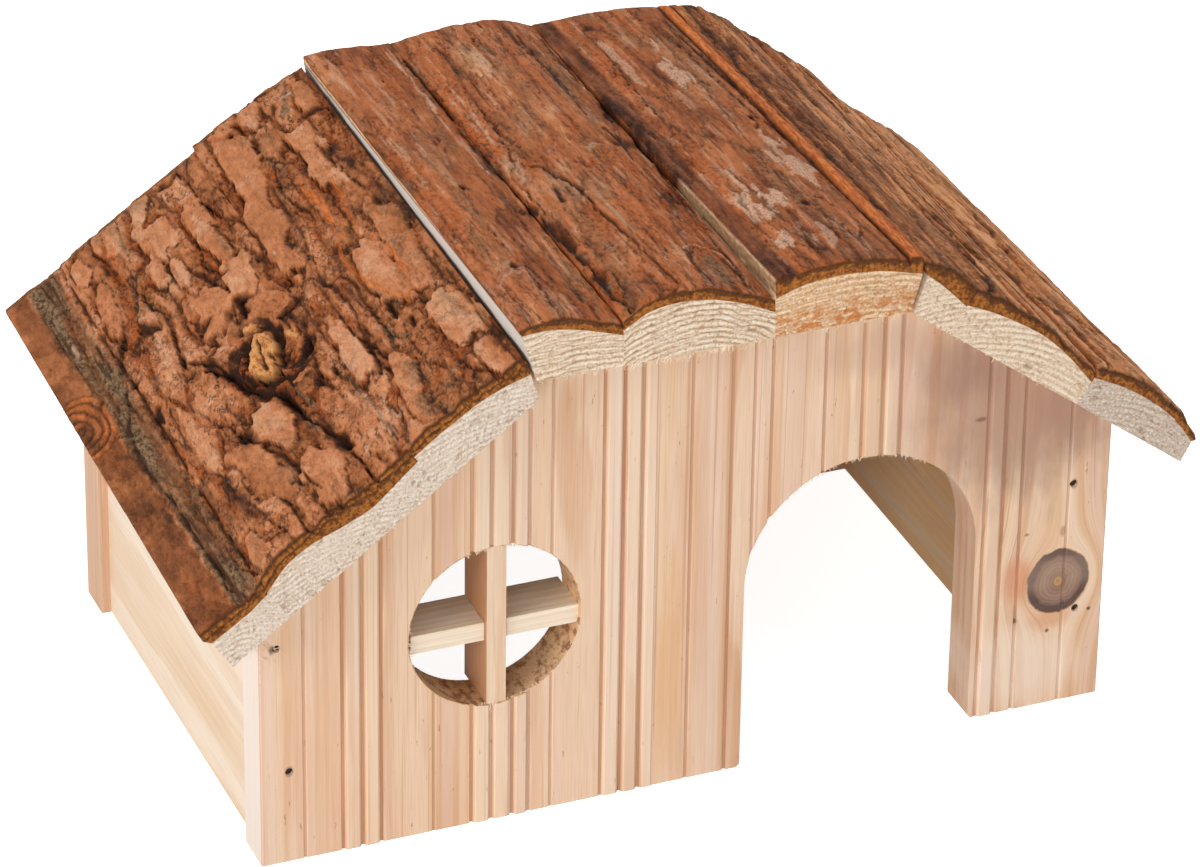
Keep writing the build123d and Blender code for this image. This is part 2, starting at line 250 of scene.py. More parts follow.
# %% Sky and lamps
world = bpy.data.worlds.new("sky")
bpy.context.scene.world = world
world.use_nodes = True
sky = world.node_tree
backing = sky.nodes["Background"]
backing.inputs["Color"].default_value = (1, 1, 1, 1)
rays = sky.nodes.new("ShaderNodeLightPath")
strength = sky.nodes.new("ShaderNodeMix")
strength.inputs[2].default_value = 0.40  # as a light
strength.inputs[3].default_value = 1.0  # as a backdrop
sky.links.new(rays.outputs["Is Camera Ray"], strength.inputs[0])
sky.links.new(strength.outputs[0], backing.inputs["Strength"])


def lamp(name, place, size, power):
    data = bpy.data.lights.new(name, "AREA")
    data.shape, data.size, data.energy = "DISK", size, power
    lit = bpy.data.objects.new(name, data)
    bpy.context.scene.collection.objects.link(lit)
    lit.location = place
    lit.rotation_euler = (Vector((0, 0, 0.06)) - Vector(place)).to_track_quat("-Z", "Y").to_euler()


lamp("window_left", (-2.0, -0.8, 1.0), 1.2, 20)
lamp("low_left", (-1.15, -1.65, 0.34), 0.7, 13)
lamp("window_right", (1.2, -1.5, 1.5), 1.4, 5)
lamp("ceiling", (0.3, 0.3, 2.2), 1.6, 10)
lamp("window_behind", (0.4, 2.2, 1.2), 1.6, 10)
bpy.context.scene.view_settings.view_transform = "Standard"

# %% [markdown]
# ## Solid wood
# Wood is not a skin. A board is cut out of a trunk, so its lines are slices
# through yearly rings. The material works in the same way: it measures how far
# a point is from the tree's middle, and turns that distance into pale spring
# wood and darker summer wood. Along the trunk everything is stretched, so side
# faces show long lines and sawn ends show arcs. One function serves every
# board, told where the middle of its tree was. Round a knot the rings are
# pushed aside.

# %% Yearly rings
AXES = {"x": (1, 2, 0), "y": (0, 2, 1), "z": (0, 1, 2)}


def ring_wood(finish, along, middle, ring, wander=2.5, knot=None):
    """Place in the board as (across, across, along), the ring pattern, and the distance from the knot."""
    xyz = finish.part(finish.place)
    a, b, c = (xyz[i] for i in AXES[along])
    reach = None
    if knot:
        x, z, radius = (k * MM for k in knot)
        dx, dz = a - x, (c - z) * 0.93
        square = dx * dx + dz * dz
        hold = finish.math("DIVIDE", radius**2, finish.math("MAXIMUM", square, radius**2))
        a = a - dx * hold
        reach = finish.math("SQRT", square) / radius
    trunk = finish.wire("CombineXYZ", 0, {0: a, 1: b, 2: c})
    sway = finish.noise((45, 45, 9), 2.0, at=trunk)
    fine_sway = finish.noise((170, 170, 22), 2.0, at=trunk)
    away = finish.length(a - middle[0] * MM, b - middle[1] * MM)
    away = away + sway * (2 * wander * MM) + fine_sway * (0.8 * wander * MM)
    year = finish.math("FRACT", away / (ring * MM))
    return trunk, finish.band(year, 0.15, 0.86) * finish.band(year, 0.9, 1.0, 1.0, 0.0), reach


print("a board grows along", list(AXES))


# %% Sawn ends
def sawn_end(finish, colour, summer, along, pale, dark):
    """Sawn faces across the trunk are rough and speckled, so they get their own colour."""
    end = finish.band(abs(finish.normal()[AXES[along][2]]), 0.35, 0.7)
    crumbs = finish.noise((1500, 1500, 1500), 4.0, 0.72)
    clots = finish.noise((520, 520, 520), 3.0, 0.65, shift=(2, 2, 2))
    sawn = finish.over(pale, dark, summer, 0.2, 0.9, 0.5)
    sawn = finish.over(sawn, paint(160, 114, 76), crumbs, 0.54, 0.64, 0.55)
    sawn = finish.over(sawn, dark, clots, 0.54, 0.7, 0.6)
    sawn = finish.over(sawn, paint(255, 246, 234), crumbs, 0.48, 0.33, 0.8)
    return end, finish.mix(end, colour, sawn), crumbs


print("ends are sawn across", AXES["z"][2], "for an upright board")


# %% Marks of a planed face
def stain_and_shade(finish, colour, row, shift):
    """Tint an oval patch of a front face, for a real stain and for painted shade alike: middle x and z, half
    width and half height, colour, strength.
    """
    middle_x, middle_z, half_width, half_height, r, g, b, amount = row
    x, y, z = finish.part(finish.place)
    wobble = finish.noise((160, 160, 70), shift=(shift, 4, 4)) * 0.9
    away = finish.length((x - middle_x * MM) / (half_width * MM), (z - middle_z * MM) / (half_height * MM))
    close = finish.band(away + wobble, 0.75, 1.5, amount, 0.0)
    return finish.mix(close * finish.math("LESS_THAN", y, -0.055), colour, paint(r, g, b))


def planing(finish, colour, trunk):
    """Bands, dark lines and flecks of a planed face, with a painted highlight on the ribs, painted shade in
    the grooves, and painted light on the left end face.
    """
    bands = finish.noise((150, 150, 1.5), 2.0, shift=(4, 2, 8), at=trunk)
    lines = finish.noise((1100, 1100, 5), 2.0, shift=(6, 6, 6), at=trunk)
    flecks = finish.noise((800, 800, 170), 3.0, 0.6, shift=(8, 2, 2), at=trunk)
    x, y, _ = finish.part(finish.place)
    out = abs(y) - FRONT * MM
    # The last two tints follow the depth of the face: a painted highlight on the ribs and painted shade in
    # the grooves.
    for tint, value, low, high, most in (
            (paint(238, 210, 194), bands, 0.53, 0.6, 0.3), (paint(238, 196, 150), bands, 0.45, 0.4, 0.25),
            (paint(186, 126, 84), lines, 0.62, 0.7, 0.4), (paint(150, 92, 56), flecks, 0.68, 0.73, 0.6),
            (paint(247, 228, 206), out, 0.1 * MM, 0.25 * MM, 0.3),
            (paint(172, 116, 82), out, -0.08 * MM, -0.35 * MM, 0.42)):
        colour = finish.over(colour, tint, value, low, high, most)
    side = abs(finish.normal()[0]) * finish.math("LESS_THAN", y, 0.0)
    # Painted light: the narrow left end face is whitened, as light from the left would make it.
    lit_left_end = finish.band(side, 0.7, 0.9, 0.0, 0.75) * finish.band(x * -1.0, 111 * MM, 111.6 * MM)
    return finish.mix(lit_left_end, colour, paint(246, 236, 226))


def knot_heart(finish, colour, reach, fibre):
    """A round knot with its own fine rings."""
    reach = reach + (finish.noise((260, 1, 260)) - 0.5) * 0.22
    rings = finish.math("SINE", reach * 52.0)
    heart = finish.shades(reach * 0.8, [
        (0.0, 176, 118, 52), (0.09, 190, 136, 76), (0.14, 134, 98, 74), (0.4, 160, 126, 106),
        (0.6, 128, 94, 78), (0.66, 80, 58, 50), (0.78, 88, 64, 56), (0.8, 150, 100, 76)])
    heart = finish.over(heart, paint(96, 70, 58), rings, 0.2, 0.9, 0.35)
    heart = finish.over(heart, paint(196, 166, 146), fibre, 0.4, 0.7, 0.3)
    front = finish.math("LESS_THAN", finish.part(finish.place)[1], -0.05)
    return finish.mix(finish.band(reach, 0.97, 1.04, 1.0, 0.0) * front, colour, heart)


def cut_rim(finish, colour, hole):
    """The sawn inside of a round hole."""
    x, _, z = finish.part(finish.place)
    away = finish.length(x - hole[0] * MM, z - hole[1] * MM)
    chewed = finish.noise((420, 260, 420), 4.0, 0.7, shift=(3, 3, 3))
    cut = finish.over(paint(150, 96, 56), paint(232, 188, 140), chewed, 0.38, 0.56)
    return finish.over(colour, cut, away, (hole[2] + 0.3) * MM, (hole[2] + 0.1) * MM, 0.85)


print("window rim at", WINDOW)


# %% Planed pine
def pine(name, along, middle, ring, pale, dark, contrast=0.75, knot=None, grooved=False, stains_and_shade=(),
         sides=None, hole=None):
    """A planed board. Sides is a painted shade for the faces that look left and right."""
    finish = Finish(name)
    trunk, summer, reach = ring_wood(finish, along, middle, ring, knot=knot)
    drift = finish.noise((60, 60, 6), shift=(3, 1, 7), at=trunk)
    strip = finish.noise((330, 330, 5), 2.0, shift=(9, 1, 3), at=trunk)
    fibre = finish.noise((2600, 2600, 60), 3.0, 0.6, at=trunk)
    thread = finish.noise((900, 900, 26), 3.0, 0.6, shift=(1, 5, 2), at=trunk)
    colour = finish.mix(summer * finish.band(drift, 0.3, 0.7, contrast * 0.4, contrast), pale, dark)
    colour = finish.over(colour, dark, drift, 0.45, 0.75, 0.5)
    colour = finish.over(colour, paint(246, 224, 200), strip, 0.5, 0.66, 0.45)
    colour = finish.over(colour, dark, thread, 0.55, 0.75, 0.4)
    colour = finish.mix(finish.band(fibre, 0.3, 0.7, 0.13, 0.0), colour, paint(120, 72, 42))
    if grooved:
        colour = planing(finish, colour, trunk)
    if sides:
        colour = finish.over(colour, sides, abs(finish.normal()[0]), 0.6, 0.9, 0.7)
    for shift, row in enumerate(stains_and_shade):
        colour = stain_and_shade(finish, colour, row, shift)
    if knot:
        colour = knot_heart(finish, colour, reach, fibre)
    end, colour, crumbs = sawn_end(finish, colour, summer, along, paint(238, 214, 186), paint(200, 152, 108))
    if hole:
        colour = cut_rim(finish, colour, hole)
    return finish.close(colour, 0.62, fibre * 0.5 + thread * 0.5 + end * (crumbs * 3.0), 0.1)


def wear(material, *names):
    for name in names:
        slots = node[name].data.materials
        slots.clear()
        slots.append(material)


# %% Dressing the boards
# Middle x and z, half width and half height, then the colour and how strong it is.
front_stains_and_shade = [
    # The first five patches, under the roof, are partly a grey stain and partly painted shadow of the roof's
    # overhang.
    (88, 90, 36, 36, 160, 126, 108, 0.78), (84, 92, 40, 26, 196, 150, 124, 0.4),
    (70, 104, 15, 15, 152, 112, 98, 0.5), (100, 86, 11, 13, 152, 112, 98, 0.3),
    (48, 112, 24, 9, 196, 156, 132, 0.4), (90, 12, 22, 16, 250, 230, 212, 0.5),
    (-6, 34, 5, 40, 222, 164, 106, 0.5), (20, 60, 5, 50, 224, 172, 134, 0.4),
    (-97, 25, 14, 40, 224, 172, 134, 0.35), (88.5, 38, 6, 9, 214, 146, 108, 0.75),
    (98, 25, 8, 4, 214, 158, 116, 0.6), (88, 26, 0.8, 1.2, 120, 66, 40, 0.9),
    (97, 21.5, 0.8, 0.8, 130, 70, 44, 0.9), (108.4, 25.6, 0.7, 0.7, 80, 44, 30, 0.9),
    (90, 51, 0.9, 0.7, 150, 96, 66, 0.8), (76, 87, 2.2, 1.0, 132, 88, 74, 0.85),
    # The patches at x -108.7, -104.7, 102.3 and 104.6, in colour 96, 58, 36, are painted shade round the brad
    # holes.
    (100, 50, 1.0, 2.0, 170, 118, 90, 0.6), (-108.7, 61.2, 1.3, 1.8, 96, 58, 36, 0.8),
    (-104.7, 25.8, 1.3, 1.8, 96, 58, 36, 0.8), (102.3, 63.3, 1.3, 1.9, 96, 58, 36, 0.8),
    (104.6, 26.6, 1.2, 1.5, 96, 58, 36, 0.8),
]
front_pine = pine("front_pine", "z", (-20, 90), 3.6, paint(240, 206, 176), paint(216, 164, 124),
                  knot=(99.4, 35.6, 8.6), grooved=True, stains_and_shade=front_stains_and_shade, hole=WINDOW)
back_pine = pine("back_pine", "z", (40, -90), 3.4, paint(240, 206, 174), paint(218, 166, 124), grooved=True)
side_pine = pine("side_pine", "y", (-60, 20), 4.2, paint(245, 226, 204), paint(228, 192, 152))
# The right side panel is tan, and is painted brighter than the other boards as light for its inner face,
# which the lamps hardly reach.
tan_pine_brightened = pine("tan_pine_brightened", "y", (60, 10), 3.6, paint(255, 212, 156), paint(240, 180, 122))
wear(front_pine, "front_panel")
wear(back_pine, "back_panel")
wear(side_pine, "left_side_panel")
wear(tan_pine_brightened, "right_side_panel")
print("planed boards dressed,", len(front_stains_and_shade), "stains on the front")

# %% Window bars
# The upright's side faces, deep in the window, get painted shade in brown.
bar_upright_pine = pine("bar_upright_pine", "z", (-40, -30), 1.6, paint(240, 206, 174), paint(216, 166, 120),
                        contrast=0.6, sides=paint(184, 116, 60))
# The level bar is painted paler than the upright: painted light for its top, which the window's rim shades.
bar_level_pine_brightened = pine("bar_level_pine_brightened", "x", (-40, 30), 1.5, paint(255, 244, 222), paint(232, 190, 142),
                      contrast=0.6)
wear(bar_upright_pine, "window_bar_upright")
wear(bar_level_pine_brightened, "window_bar_level")
print("window bars dressed")

# %% [markdown]
# ## Brads
# Thin headless nails hold the boards. Only a dull grey end shows, deep in a
# small hole. The material is metal with fine scratches, painted dark all over
# as shade for the deep hole that it sits in.

# %% Brad steel
def dull_steel():
    finish = Finish("brad_steel")
    scratch = finish.noise((3000, 3000, 3000))
    # The dark steel is painted shade for the deep brad holes.
    sockets = {"Base Color": finish.mix(scratch, paint(38, 30, 26), paint(84, 74, 66)), "Metallic": 1.0,
               "Roughness": finish.band(scratch, 0.3, 0.7, 0.35, 0.6)}
    return finish.end(finish.node("BsdfPrincipled", sockets))


brads = [name for name in node if name.endswith("_brads")]
wear(dull_steel(), *brads)
print(len(brads), "groups of brads")

# %% [markdown]
# ## Measures of the roof
# Each slab follows one of three runs: the left slope, the flat top and the
# right slope. Along a run a point has a distance s and a height t above the
# walls, which keeps the shapes easy to write. Every slab is given at its front
# and its back end: the arch of its sawn wood, and the arch of the bark on it.

# %% Roof runs
eave = {"left": (-122.2, 66.1, 36.5), "right": (125.6, 71.0, 37.0)}  # x, z, pitch in degrees


def on_run(run, s, t):
    """x and z of points at distance s along a run and height t above it."""
    if run == "top":
        return s, WALL_TOP + t
    x0, z0, pitch = eave[run]
    c, n = math.cos(math.radians(pitch)), math.sin(math.radians(pitch))
    side = 1.0 if run == "left" else -1.0
    return x0 + side * (s * c - t * n), z0 + s * n + t * c


# Run, then s at the foot of both sides, the arch of the wood and the arch of the bark, each at the front
# and at the back. An arch is a row of stations (s, t).
slabs = {
    "left_eave": ("left", ((0, 18), (3, 22)),
        ([(0.5, 9.2), (6, 8.9), (12, 8.7), (18, 9.2)], [(3.6, 12.6), (10, 12.6), (16, 12.2), (22, 12.0)]),
        ([(-0.8, 12.2), (6, 11.8), (12, 11.5), (18, 11.7)],
         [(3.9, 16.2), (10, 16.0), (16, 15.3), (22, 15.0)])),
    "left_middle": ("left", ((18, 65), (22, 67)),
        ([(18, 9.6), (26, 11.9), (34, 11.6), (42, 9.6), (50, 8.2), (57, 8.8), (65, 9.6)],
         [(22, 12.2), (29, 12.6), (36, 12.2), (43, 12.0), (50, 11.8), (58, 11.5), (67, 11.2)]),
        ([(18, 12.2), (26, 14.3), (34, 14.9), (42, 14.6), (50, 13.9), (57, 13.2), (65, 13.0)],
         [(22, 15.2), (29, 15.8), (36, 15.5), (43, 15.4), (50, 15.2), (58, 14.9), (67, 14.5)])),
    "left_upper": ("left", ((65, 95.8), (67, 95.8)),
        ([(65, 11.2), (72, 11.3), (79, 11.1), (86, 10.5), (92, 9.2), (98.1, 7.1)],
         [(67, 12.8), (74, 12.8), (80, 12.4), (86, 11.8), (92, 11.0), (99.8, 9.6)]),
        ([(65, 13.9), (72, 13.7), (79, 13.3), (86, 12.8), (92, 11.9), (99.3, 9.8)],
         [(67, 16.0), (74, 15.8), (80, 15.4), (86, 14.8), (92, 14.2), (101.2, 12.6)])),
    "top_left": ("top", ((-45.9, -24.1), (-45.9, -24.1)),
        ([(-49.8, 12.9), (-44, 13.2), (-38, 12.4), (-31, 10.5), (-24.1, 8.1)],
         [(-47.0, 8.6), (-42, 8.7), (-37, 8.5), (-31, 8.1), (-24.1, 7.4)]),
        ([(-50.4, 14.4), (-44, 15.5), (-38, 15.3), (-31, 13.2), (-24.1, 10.7)],
         [(-47.3, 11.0), (-42, 11.5), (-37, 11.4), (-31, 11.0), (-24.1, 10.4)])),
    "top_middle": ("top", ((-24.1, 14.7), (-24.1, 14.7)),
        ([(-24.1, 9.4), (-18, 12.9), (-11, 14.2), (-4, 13.8), (5, 11.3), (14.7, 6.8)],
         [(-24.1, 7.6), (-18, 8.9), (-11, 9.6), (-4, 9.7), (5, 9.1), (14.7, 6.4)]),
        ([(-24.1, 11.7), (-18, 15.3), (-11, 17.0), (-4, 16.7), (5, 14.2), (14.7, 10.2)],
         [(-24.1, 10.4), (-18, 11.4), (-11, 12.3), (-4, 12.6), (5, 12.2), (14.7, 9.0)])),
    "top_right": ("top", ((14.7, 50.2), (14.7, 50.2)),
        ([(14.7, 10.4), (23, 12.9), (32, 13.6), (41, 12.8), (52.8, 9.9)],
         [(14.7, 5.9), (23, 6.5), (32, 6.9), (41, 6.4), (51.7, 4.9)]),
        ([(14.7, 14.9), (23, 16.6), (32, 17.0), (41, 16.0), (53.3, 13.4)],
         [(14.7, 8.9), (23, 9.4), (32, 9.7), (41, 9.4), (52.5, 7.8)])),
    "right_upper": ("right", ((93.4, 81.8), (93.4, 81.8)),
        ([(96.6, 9.9), (91, 9.4), (86, 8.6), (81.8, 7.8)], [(95.4, 6.0), (91, 8.0), (86, 9.2), (81.8, 9.6)]),
        ([(99.2, 13.0), (94, 14.2), (87, 13.8), (81.8, 13.0)],
         [(96.8, 8.6), (92, 11.3), (87, 12.5), (81.8, 12.9)])),
    "right_middle": ("right", ((81.8, 37.2), (81.8, 37.2)),
        ([(81.8, 8.2), (74, 9.8), (66, 10.6), (57, 10.8), (48, 9.4), (37.2, 6.5)],
         [(81.8, 9.6), (74, 9.6), (66, 9.5), (57, 9.4), (48, 8.6), (37.2, 6.7)]),
        ([(81.8, 12.8), (74, 14.0), (66, 14.3), (57, 13.4), (48, 11.5), (37.2, 9.0)],
         [(81.8, 12.9), (74, 12.7), (66, 12.5), (57, 12.4), (48, 11.6), (37.2, 9.3)])),
    "right_eave": ("right", ((37.2, 0), (37.2, 0)),
        ([(37.2, 7.9), (29, 9.3), (20, 9.7), (10, 8.7), (0.9, 5.8)],
         [(37.2, 6.8), (29, 6.6), (20, 6.5), (10, 6.0), (0.9, 4.4)]),
        ([(37.2, 10.5), (30, 12.4), (20, 13.2), (10, 11.5), (-0.2, 7.2)],
         [(37.2, 9.6), (30, 9.4), (20, 9.3), (10, 8.7), (0.4, 7.0)])),
}
print(len(slabs), "slabs")

# %% [markdown]
# ## Blocks of fine mesh
# Bark and sawn ends are rough in truth, not only in shading, so they need many
# points. A block is a box-shaped lattice of which only the outer layer is kept.
# Its points carry three numbers from 0 to 1, across, along and up. A slab is
# that block bent to its arches, and it stays closed, whatever is done to it.

# %% Block of mesh
def block(nu, nv, nw):
    """Points (u, v, w) on the outside of a lattice, and its square faces."""
    shape = (nu + 1, nv + 1, nw + 1)
    outer = np.ones(shape, bool)
    outer[1:-1, 1:-1, 1:-1] = False
    number = np.full(shape, -1)
    number[outer] = np.arange(outer.sum())
    points = np.argwhere(outer) / np.array([nu, nv, nw])
    faces = []
    for axis in range(3):
        for end in (0, -1):
            sheet = np.take(number, end, axis=axis)
            quads = np.stack([sheet[:-1, :-1], sheet[1:, :-1], sheet[1:, 1:], sheet[:-1, 1:]], -1)
            quads = quads.reshape(-1, 4)
            if (end == 0) != (axis == 1):
                quads = quads[:, ::-1]
            faces.append(quads)
    return points, np.concatenate(faces)


def solid(name, x, y, z, faces, material, numbers=None, soft=False):
    """A mesh object from arrays in millimetres, with numbers stored on its points."""
    low, high = (np.array(corner) / MM for corner in solid_box)
    points = np.clip(np.stack([x, y, z], -1), low, high) * MM
    mesh = bpy.data.meshes.new(name)
    mesh.vertices.add(len(points))
    mesh.vertices.foreach_set("co", points.ravel())
    mesh.loops.add(faces.size)
    mesh.loops.foreach_set("vertex_index", faces.ravel())
    mesh.polygons.add(len(faces))
    mesh.polygons.foreach_set("loop_start", np.arange(0, faces.size, faces.shape[1]))
    mesh.update(calc_edges=True)
    mesh.validate()
    for key, values in (numbers or {}).items():
        mesh.attributes.new(key, "FLOAT", "POINT").data.foreach_set("value", values.astype(np.float32))
    mesh.polygons.foreach_set("use_smooth", np.full(len(mesh.polygons), soft))
    if soft:
        mesh.set_sharp_from_angle(angle=math.radians(55))
    mesh.materials.append(material)
    piece = bpy.data.objects.new(name, mesh)
    bpy.context.scene.collection.objects.link(piece)
    return piece


points, faces = block(2, 2, 2)
print("smallest block", len(points), "points", len(faces), "faces")

# %% Arches
def arch(stations, u):
    """Smooth line through stations (s, t), u from 0 to 1 over its length."""
    p = np.array(stations, float)
    step = np.hypot(*np.diff(p, axis=0).T)
    at = np.concatenate([[0], np.cumsum(step)]) / step.sum()
    slope = np.gradient(p, at, axis=0)
    i = np.clip(np.searchsorted(at, u, side="right") - 1, 0, len(p) - 2)
    gap = at[i + 1] - at[i]
    f = ((u - at[i]) / gap)[:, None]
    gap = gap[:, None]
    a, b, ma, mb = p[i], p[i + 1], slope[i] * gap, slope[i + 1] * gap
    return ((2 * f**3 - 3 * f**2 + 1) * a + (f**3 - 2 * f**2 + f) * ma
            + (3 * f**2 - 2 * f**3) * b + (f**3 - f**2) * mb).T


def loft(front, back, u, v):
    """Straight blend from the front arch to the back arch."""
    s0, t0 = arch(front, u)
    s1, t1 = arch(back, u)
    return s0 + (s1 - s0) * v, t0 + (t1 - t0) * v


print("crown of the middle slab", arch(slabs["top_middle"][3][0], np.array([0.35])).ravel().round(1))

# %% [markdown]
# ## Chance patterns
# Nature repeats nothing, so the roof needs numbers that look accidental but
# come out the same each time. One function makes soft clouds, and one makes
# cells like dried mud, with the distance to the nearest crack. Both start from
# a seed.

# %% Clouds
def cloud(p, q, size_p, size_q, seed, layers=3):
    """Soft random hills, about -1 to 1, with the given spacing in both ways."""
    total, weight = 0.0, 0.0
    for layer in range(layers):
        rng = np.random.default_rng(seed * 31 + layer)
        table = rng.uniform(-1, 1, (64, 64))
        a, b = p / size_p * 2**layer + 17.3 * layer, q / size_q * 2**layer + 5.7 * layer
        i, j = np.floor(a).astype(int), np.floor(b).astype(int)
        f, g = a - i, b - j
        f, g = f * f * (3 - 2 * f), g * g * (3 - 2 * g)
        corner = lambda m, n: table[(i + m) % 64, (j + n) % 64]
        near_row, far_row = (corner(0, n) * (1 - f) + corner(1, n) * f for n in (0, 1))
        value = near_row * (1 - g) + far_row * g
        total = total + value / 2**layer
        weight += 1 / 2**layer
    return total / weight * 1.5


print("cloud sample", round(float(cloud(np.array([3.0]), np.array([4.0]), 9, 5, 1)[0]), 3))


# %% Cells and lines
def cells(p, q, size_p, size_q, seed):
    """For each point: its cell's shade and height, the next cell's height, and the distance to the edge."""
    rng = np.random.default_rng(seed)
    table = rng.uniform(0, 1, (64, 64, 4))
    a, b = p / size_p, q / size_q
    i, j = np.floor(a).astype(int), np.floor(b).astype(int)
    first, second = np.full(a.shape, 99.0), np.full(a.shape, 99.0)
    one, two = np.zeros((4,) + a.shape), np.zeros((4,) + a.shape)
    for m in (-1, 0, 1):
        for n in (-1, 0, 1):
            here = table[(i + m) % 64, (j + n) % 64]
            ca, cb = i + m + 0.1 + 0.8 * here[..., 0], j + n + 0.1 + 0.8 * here[..., 1]
            away = (ca - a) ** 2 + (cb - b) ** 2
            seen = np.stack([ca, cb, here[..., 2], here[..., 3]])
            nearest = away < first
            nearer = (away < second) & ~nearest
            two = np.where(nearest, one, np.where(nearer, seen, two))
            second = np.where(nearest, first, np.where(nearer, away, second))
            one, first = np.where(nearest, seen, one), np.where(nearest, away, first)
    slope = 2 * np.hypot((one[0] - two[0]) / size_p, (one[1] - two[1]) / size_q) + 1e-9
    return one[2], one[3], two[3], (second - first) / slope


def near(p, q, line):
    """Distance of each point to a bent line, and how far along the line that is, 0 to 1."""
    best, along = np.full(p.shape, 1e9), np.zeros(p.shape)
    pieces = list(zip(line[:-1], line[1:]))
    for i, ((a, b), (c, d)) in enumerate(pieces):
        f = np.clip(((p - a) * (c - a) + (q - b) * (d - b)) / ((c - a) ** 2 + (d - b) ** 2 + 1e-9), 0, 1)
        away = np.hypot(p - a - f * (c - a), q - b - f * (d - b))
        along = np.where(away < best, (i + f) / len(pieces), along)
        best = np.minimum(best, away)
    return best, along


def soft_step(value, low, high):
    f = np.clip((value - low) / (high - low), 0, 1)
    return f * f * (3 - 2 * f)


def fade(value, low, high):
    return 1 - soft_step(value, low, high)


print("halfway up a soft step", soft_step(0.5, 0.0, 1.0), "and down", fade(0.5, 0.0, 1.0))

# %% [markdown]
# ## Sawn slabs
# Each slab is a board from the outside of a trunk, sawn flat below, with its
# ends rough from the saw. The ends get real relief: ridges of hard summer wood
# and small pits where the saw tore the fibres out.

# %% Slab wood
def slab_wood(name, tint, seed):
    finish = Finish(name)
    trunk, summer, _ = ring_wood(finish, "y", tint["middle"], tint["ring"], 0.5)
    fibre = finish.noise((2200, 2200, 60), 3.0, 0.6, at=trunk)
    drift = finish.noise((90, 90, 8), shift=(seed, 1, 7), at=trunk)
    colour = finish.mix(summer * 0.4, paint(238, 222, 200), paint(214, 180, 140))
    colour = finish.mix(finish.band(fibre, 0.35, 0.65, 0.22, 0.0), colour, paint(150, 108, 74))
    colour = finish.over(colour, paint(220, 186, 148), drift, 0.4, 0.7, 0.35)
    x, y, z = finish.part(finish.place)
    if "bleach" in tint:
        flank = finish.band(x, -44 * MM, -45 * MM)
        colour = finish.mix(flank * tint["bleach"], colour, paint(222, 216, 210))
        top = z + y * 0.0269 + drift * (1.2 * MM)
        colour = finish.mix(flank * finish.band(top, 138.6 * MM, 139.2 * MM), colour, paint(150, 110, 84))
    end, colour, crumbs = sawn_end(finish, colour, summer, "y", tint["pale"], tint["dark"])
    colour = finish.mix(finish.grown("ring") * tint.get("lines", 0.3), colour, paint(168, 118, 76))
    colour = finish.mix(finish.grown("pit") * 0.35, colour, paint(150, 104, 68))
    if "band" in tint:
        low = finish.band(z, 130 * MM, 138 * MM, 0.9, 0.0)
        patchy = finish.band(finish.noise((300, 300, 420), 3.0, 0.7), 0.42, 0.6)
        colour = finish.mix(end * (low * patchy), colour, tint["band"])
    return finish.close(colour, 0.7, fibre * 0.6 + crumbs * finish.band(end, 0, 1, 0.3, 1.6), 0.25, 0.25)


# %% Tints of the slabs
cream = dict(ring=1.5, pale=paint(250, 230, 203), dark=paint(206, 162, 120))
chalky = dict(cream, pale=paint(240, 224, 206), dark=paint(214, 186, 158))
golden = dict(cream, pale=paint(250, 214, 170), dark=paint(206, 142, 86), band=paint(206, 120, 48))
tints = {
    "left_eave": dict(chalky, middle=(-118, 58)),
    "left_middle": dict(chalky, middle=(-80, 30), ring=1.3),
    "left_upper": dict(chalky, middle=(-45, 60), ring=1.4),
    "top_left": dict(cream, middle=(-36, 70), ring=1.7, bleach=0.8, lines=0.8),
    "top_middle": dict(cream, middle=(-6, 98), lines=0.9),
    "top_right": dict(golden, middle=(32, 60), ring=1.7, lines=0.7),
    "right_upper": dict(cream, middle=(60, 75)),
    "right_middle": dict(cream, middle=(60, 60), ring=1.6),
    "right_eave": dict(chalky, middle=(90, 40), ring=1.6,
                       pale=paint(222, 204, 186), dark=paint(184, 158, 134)),
}


print(len(tints), "tints")


# %% Sawn slabs
def sawn_slab(name, seed):
    """The wood of one slab, with rings and pores in its ends."""
    run, foot, wood, _ = slabs[name]
    points, faces = block(int(abs(foot[0][1] - foot[0][0]) / 0.3), 20, 40)
    u, v, w = points.T
    s_up, t_up = loft(*wood, u, v)
    s_front, s_back = (low + (high - low) * u for low, high in foot)
    s_low = s_front * (1 - v) + s_back * v
    s, t = s_low + (s_up - s_low) * w, t_up * w
    x, z = on_run(run, s, t)
    y = -HALF + 2 * HALF * v
    ends = (v < 0.001) | (v > 0.999)
    middle_x, middle_z = tints[name]["middle"]
    away = np.hypot(x - middle_x, z - middle_z) + 0.9 * cloud(s, t, 7, 5, seed + 5, 3)
    ridge = np.abs(np.sin(math.pi * away / tints[name]["ring"])) * 1.9
    groove = np.clip(1 - ridge * (1 + 0.4 * cloud(s, t, 6, 4, seed + 6, 2)), 0, 1)
    holes = cloud(s, t, 1.0, 0.8, seed + 3, 2) * (0.8 + 0.5 * cloud(s, t, 9, 3, seed + 4, 2))
    pores = soft_step(holes, 0.5, 0.8)
    torn = 0.1 * (1 + cloud(s, t, 1.7, 1.3, seed, 3)) + 0.3 * pores + 0.16 * groove
    y = np.where(ends, y - np.sign(y) * torn, y)
    numbers = {"pit": np.where(ends, pores, 0.0), "ring": np.where(ends, groove, 0.0)}
    finish = slab_wood(name + "_wood", tints[name], seed)
    return solid(name + "_wood", x, y, z, faces, finish, numbers, soft=True)


for seed, name in enumerate(slabs):
    piece = sawn_slab(name, 40 + seed)
    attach(piece, "root")
    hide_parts(name + "_slab")
print("sawn slabs made")

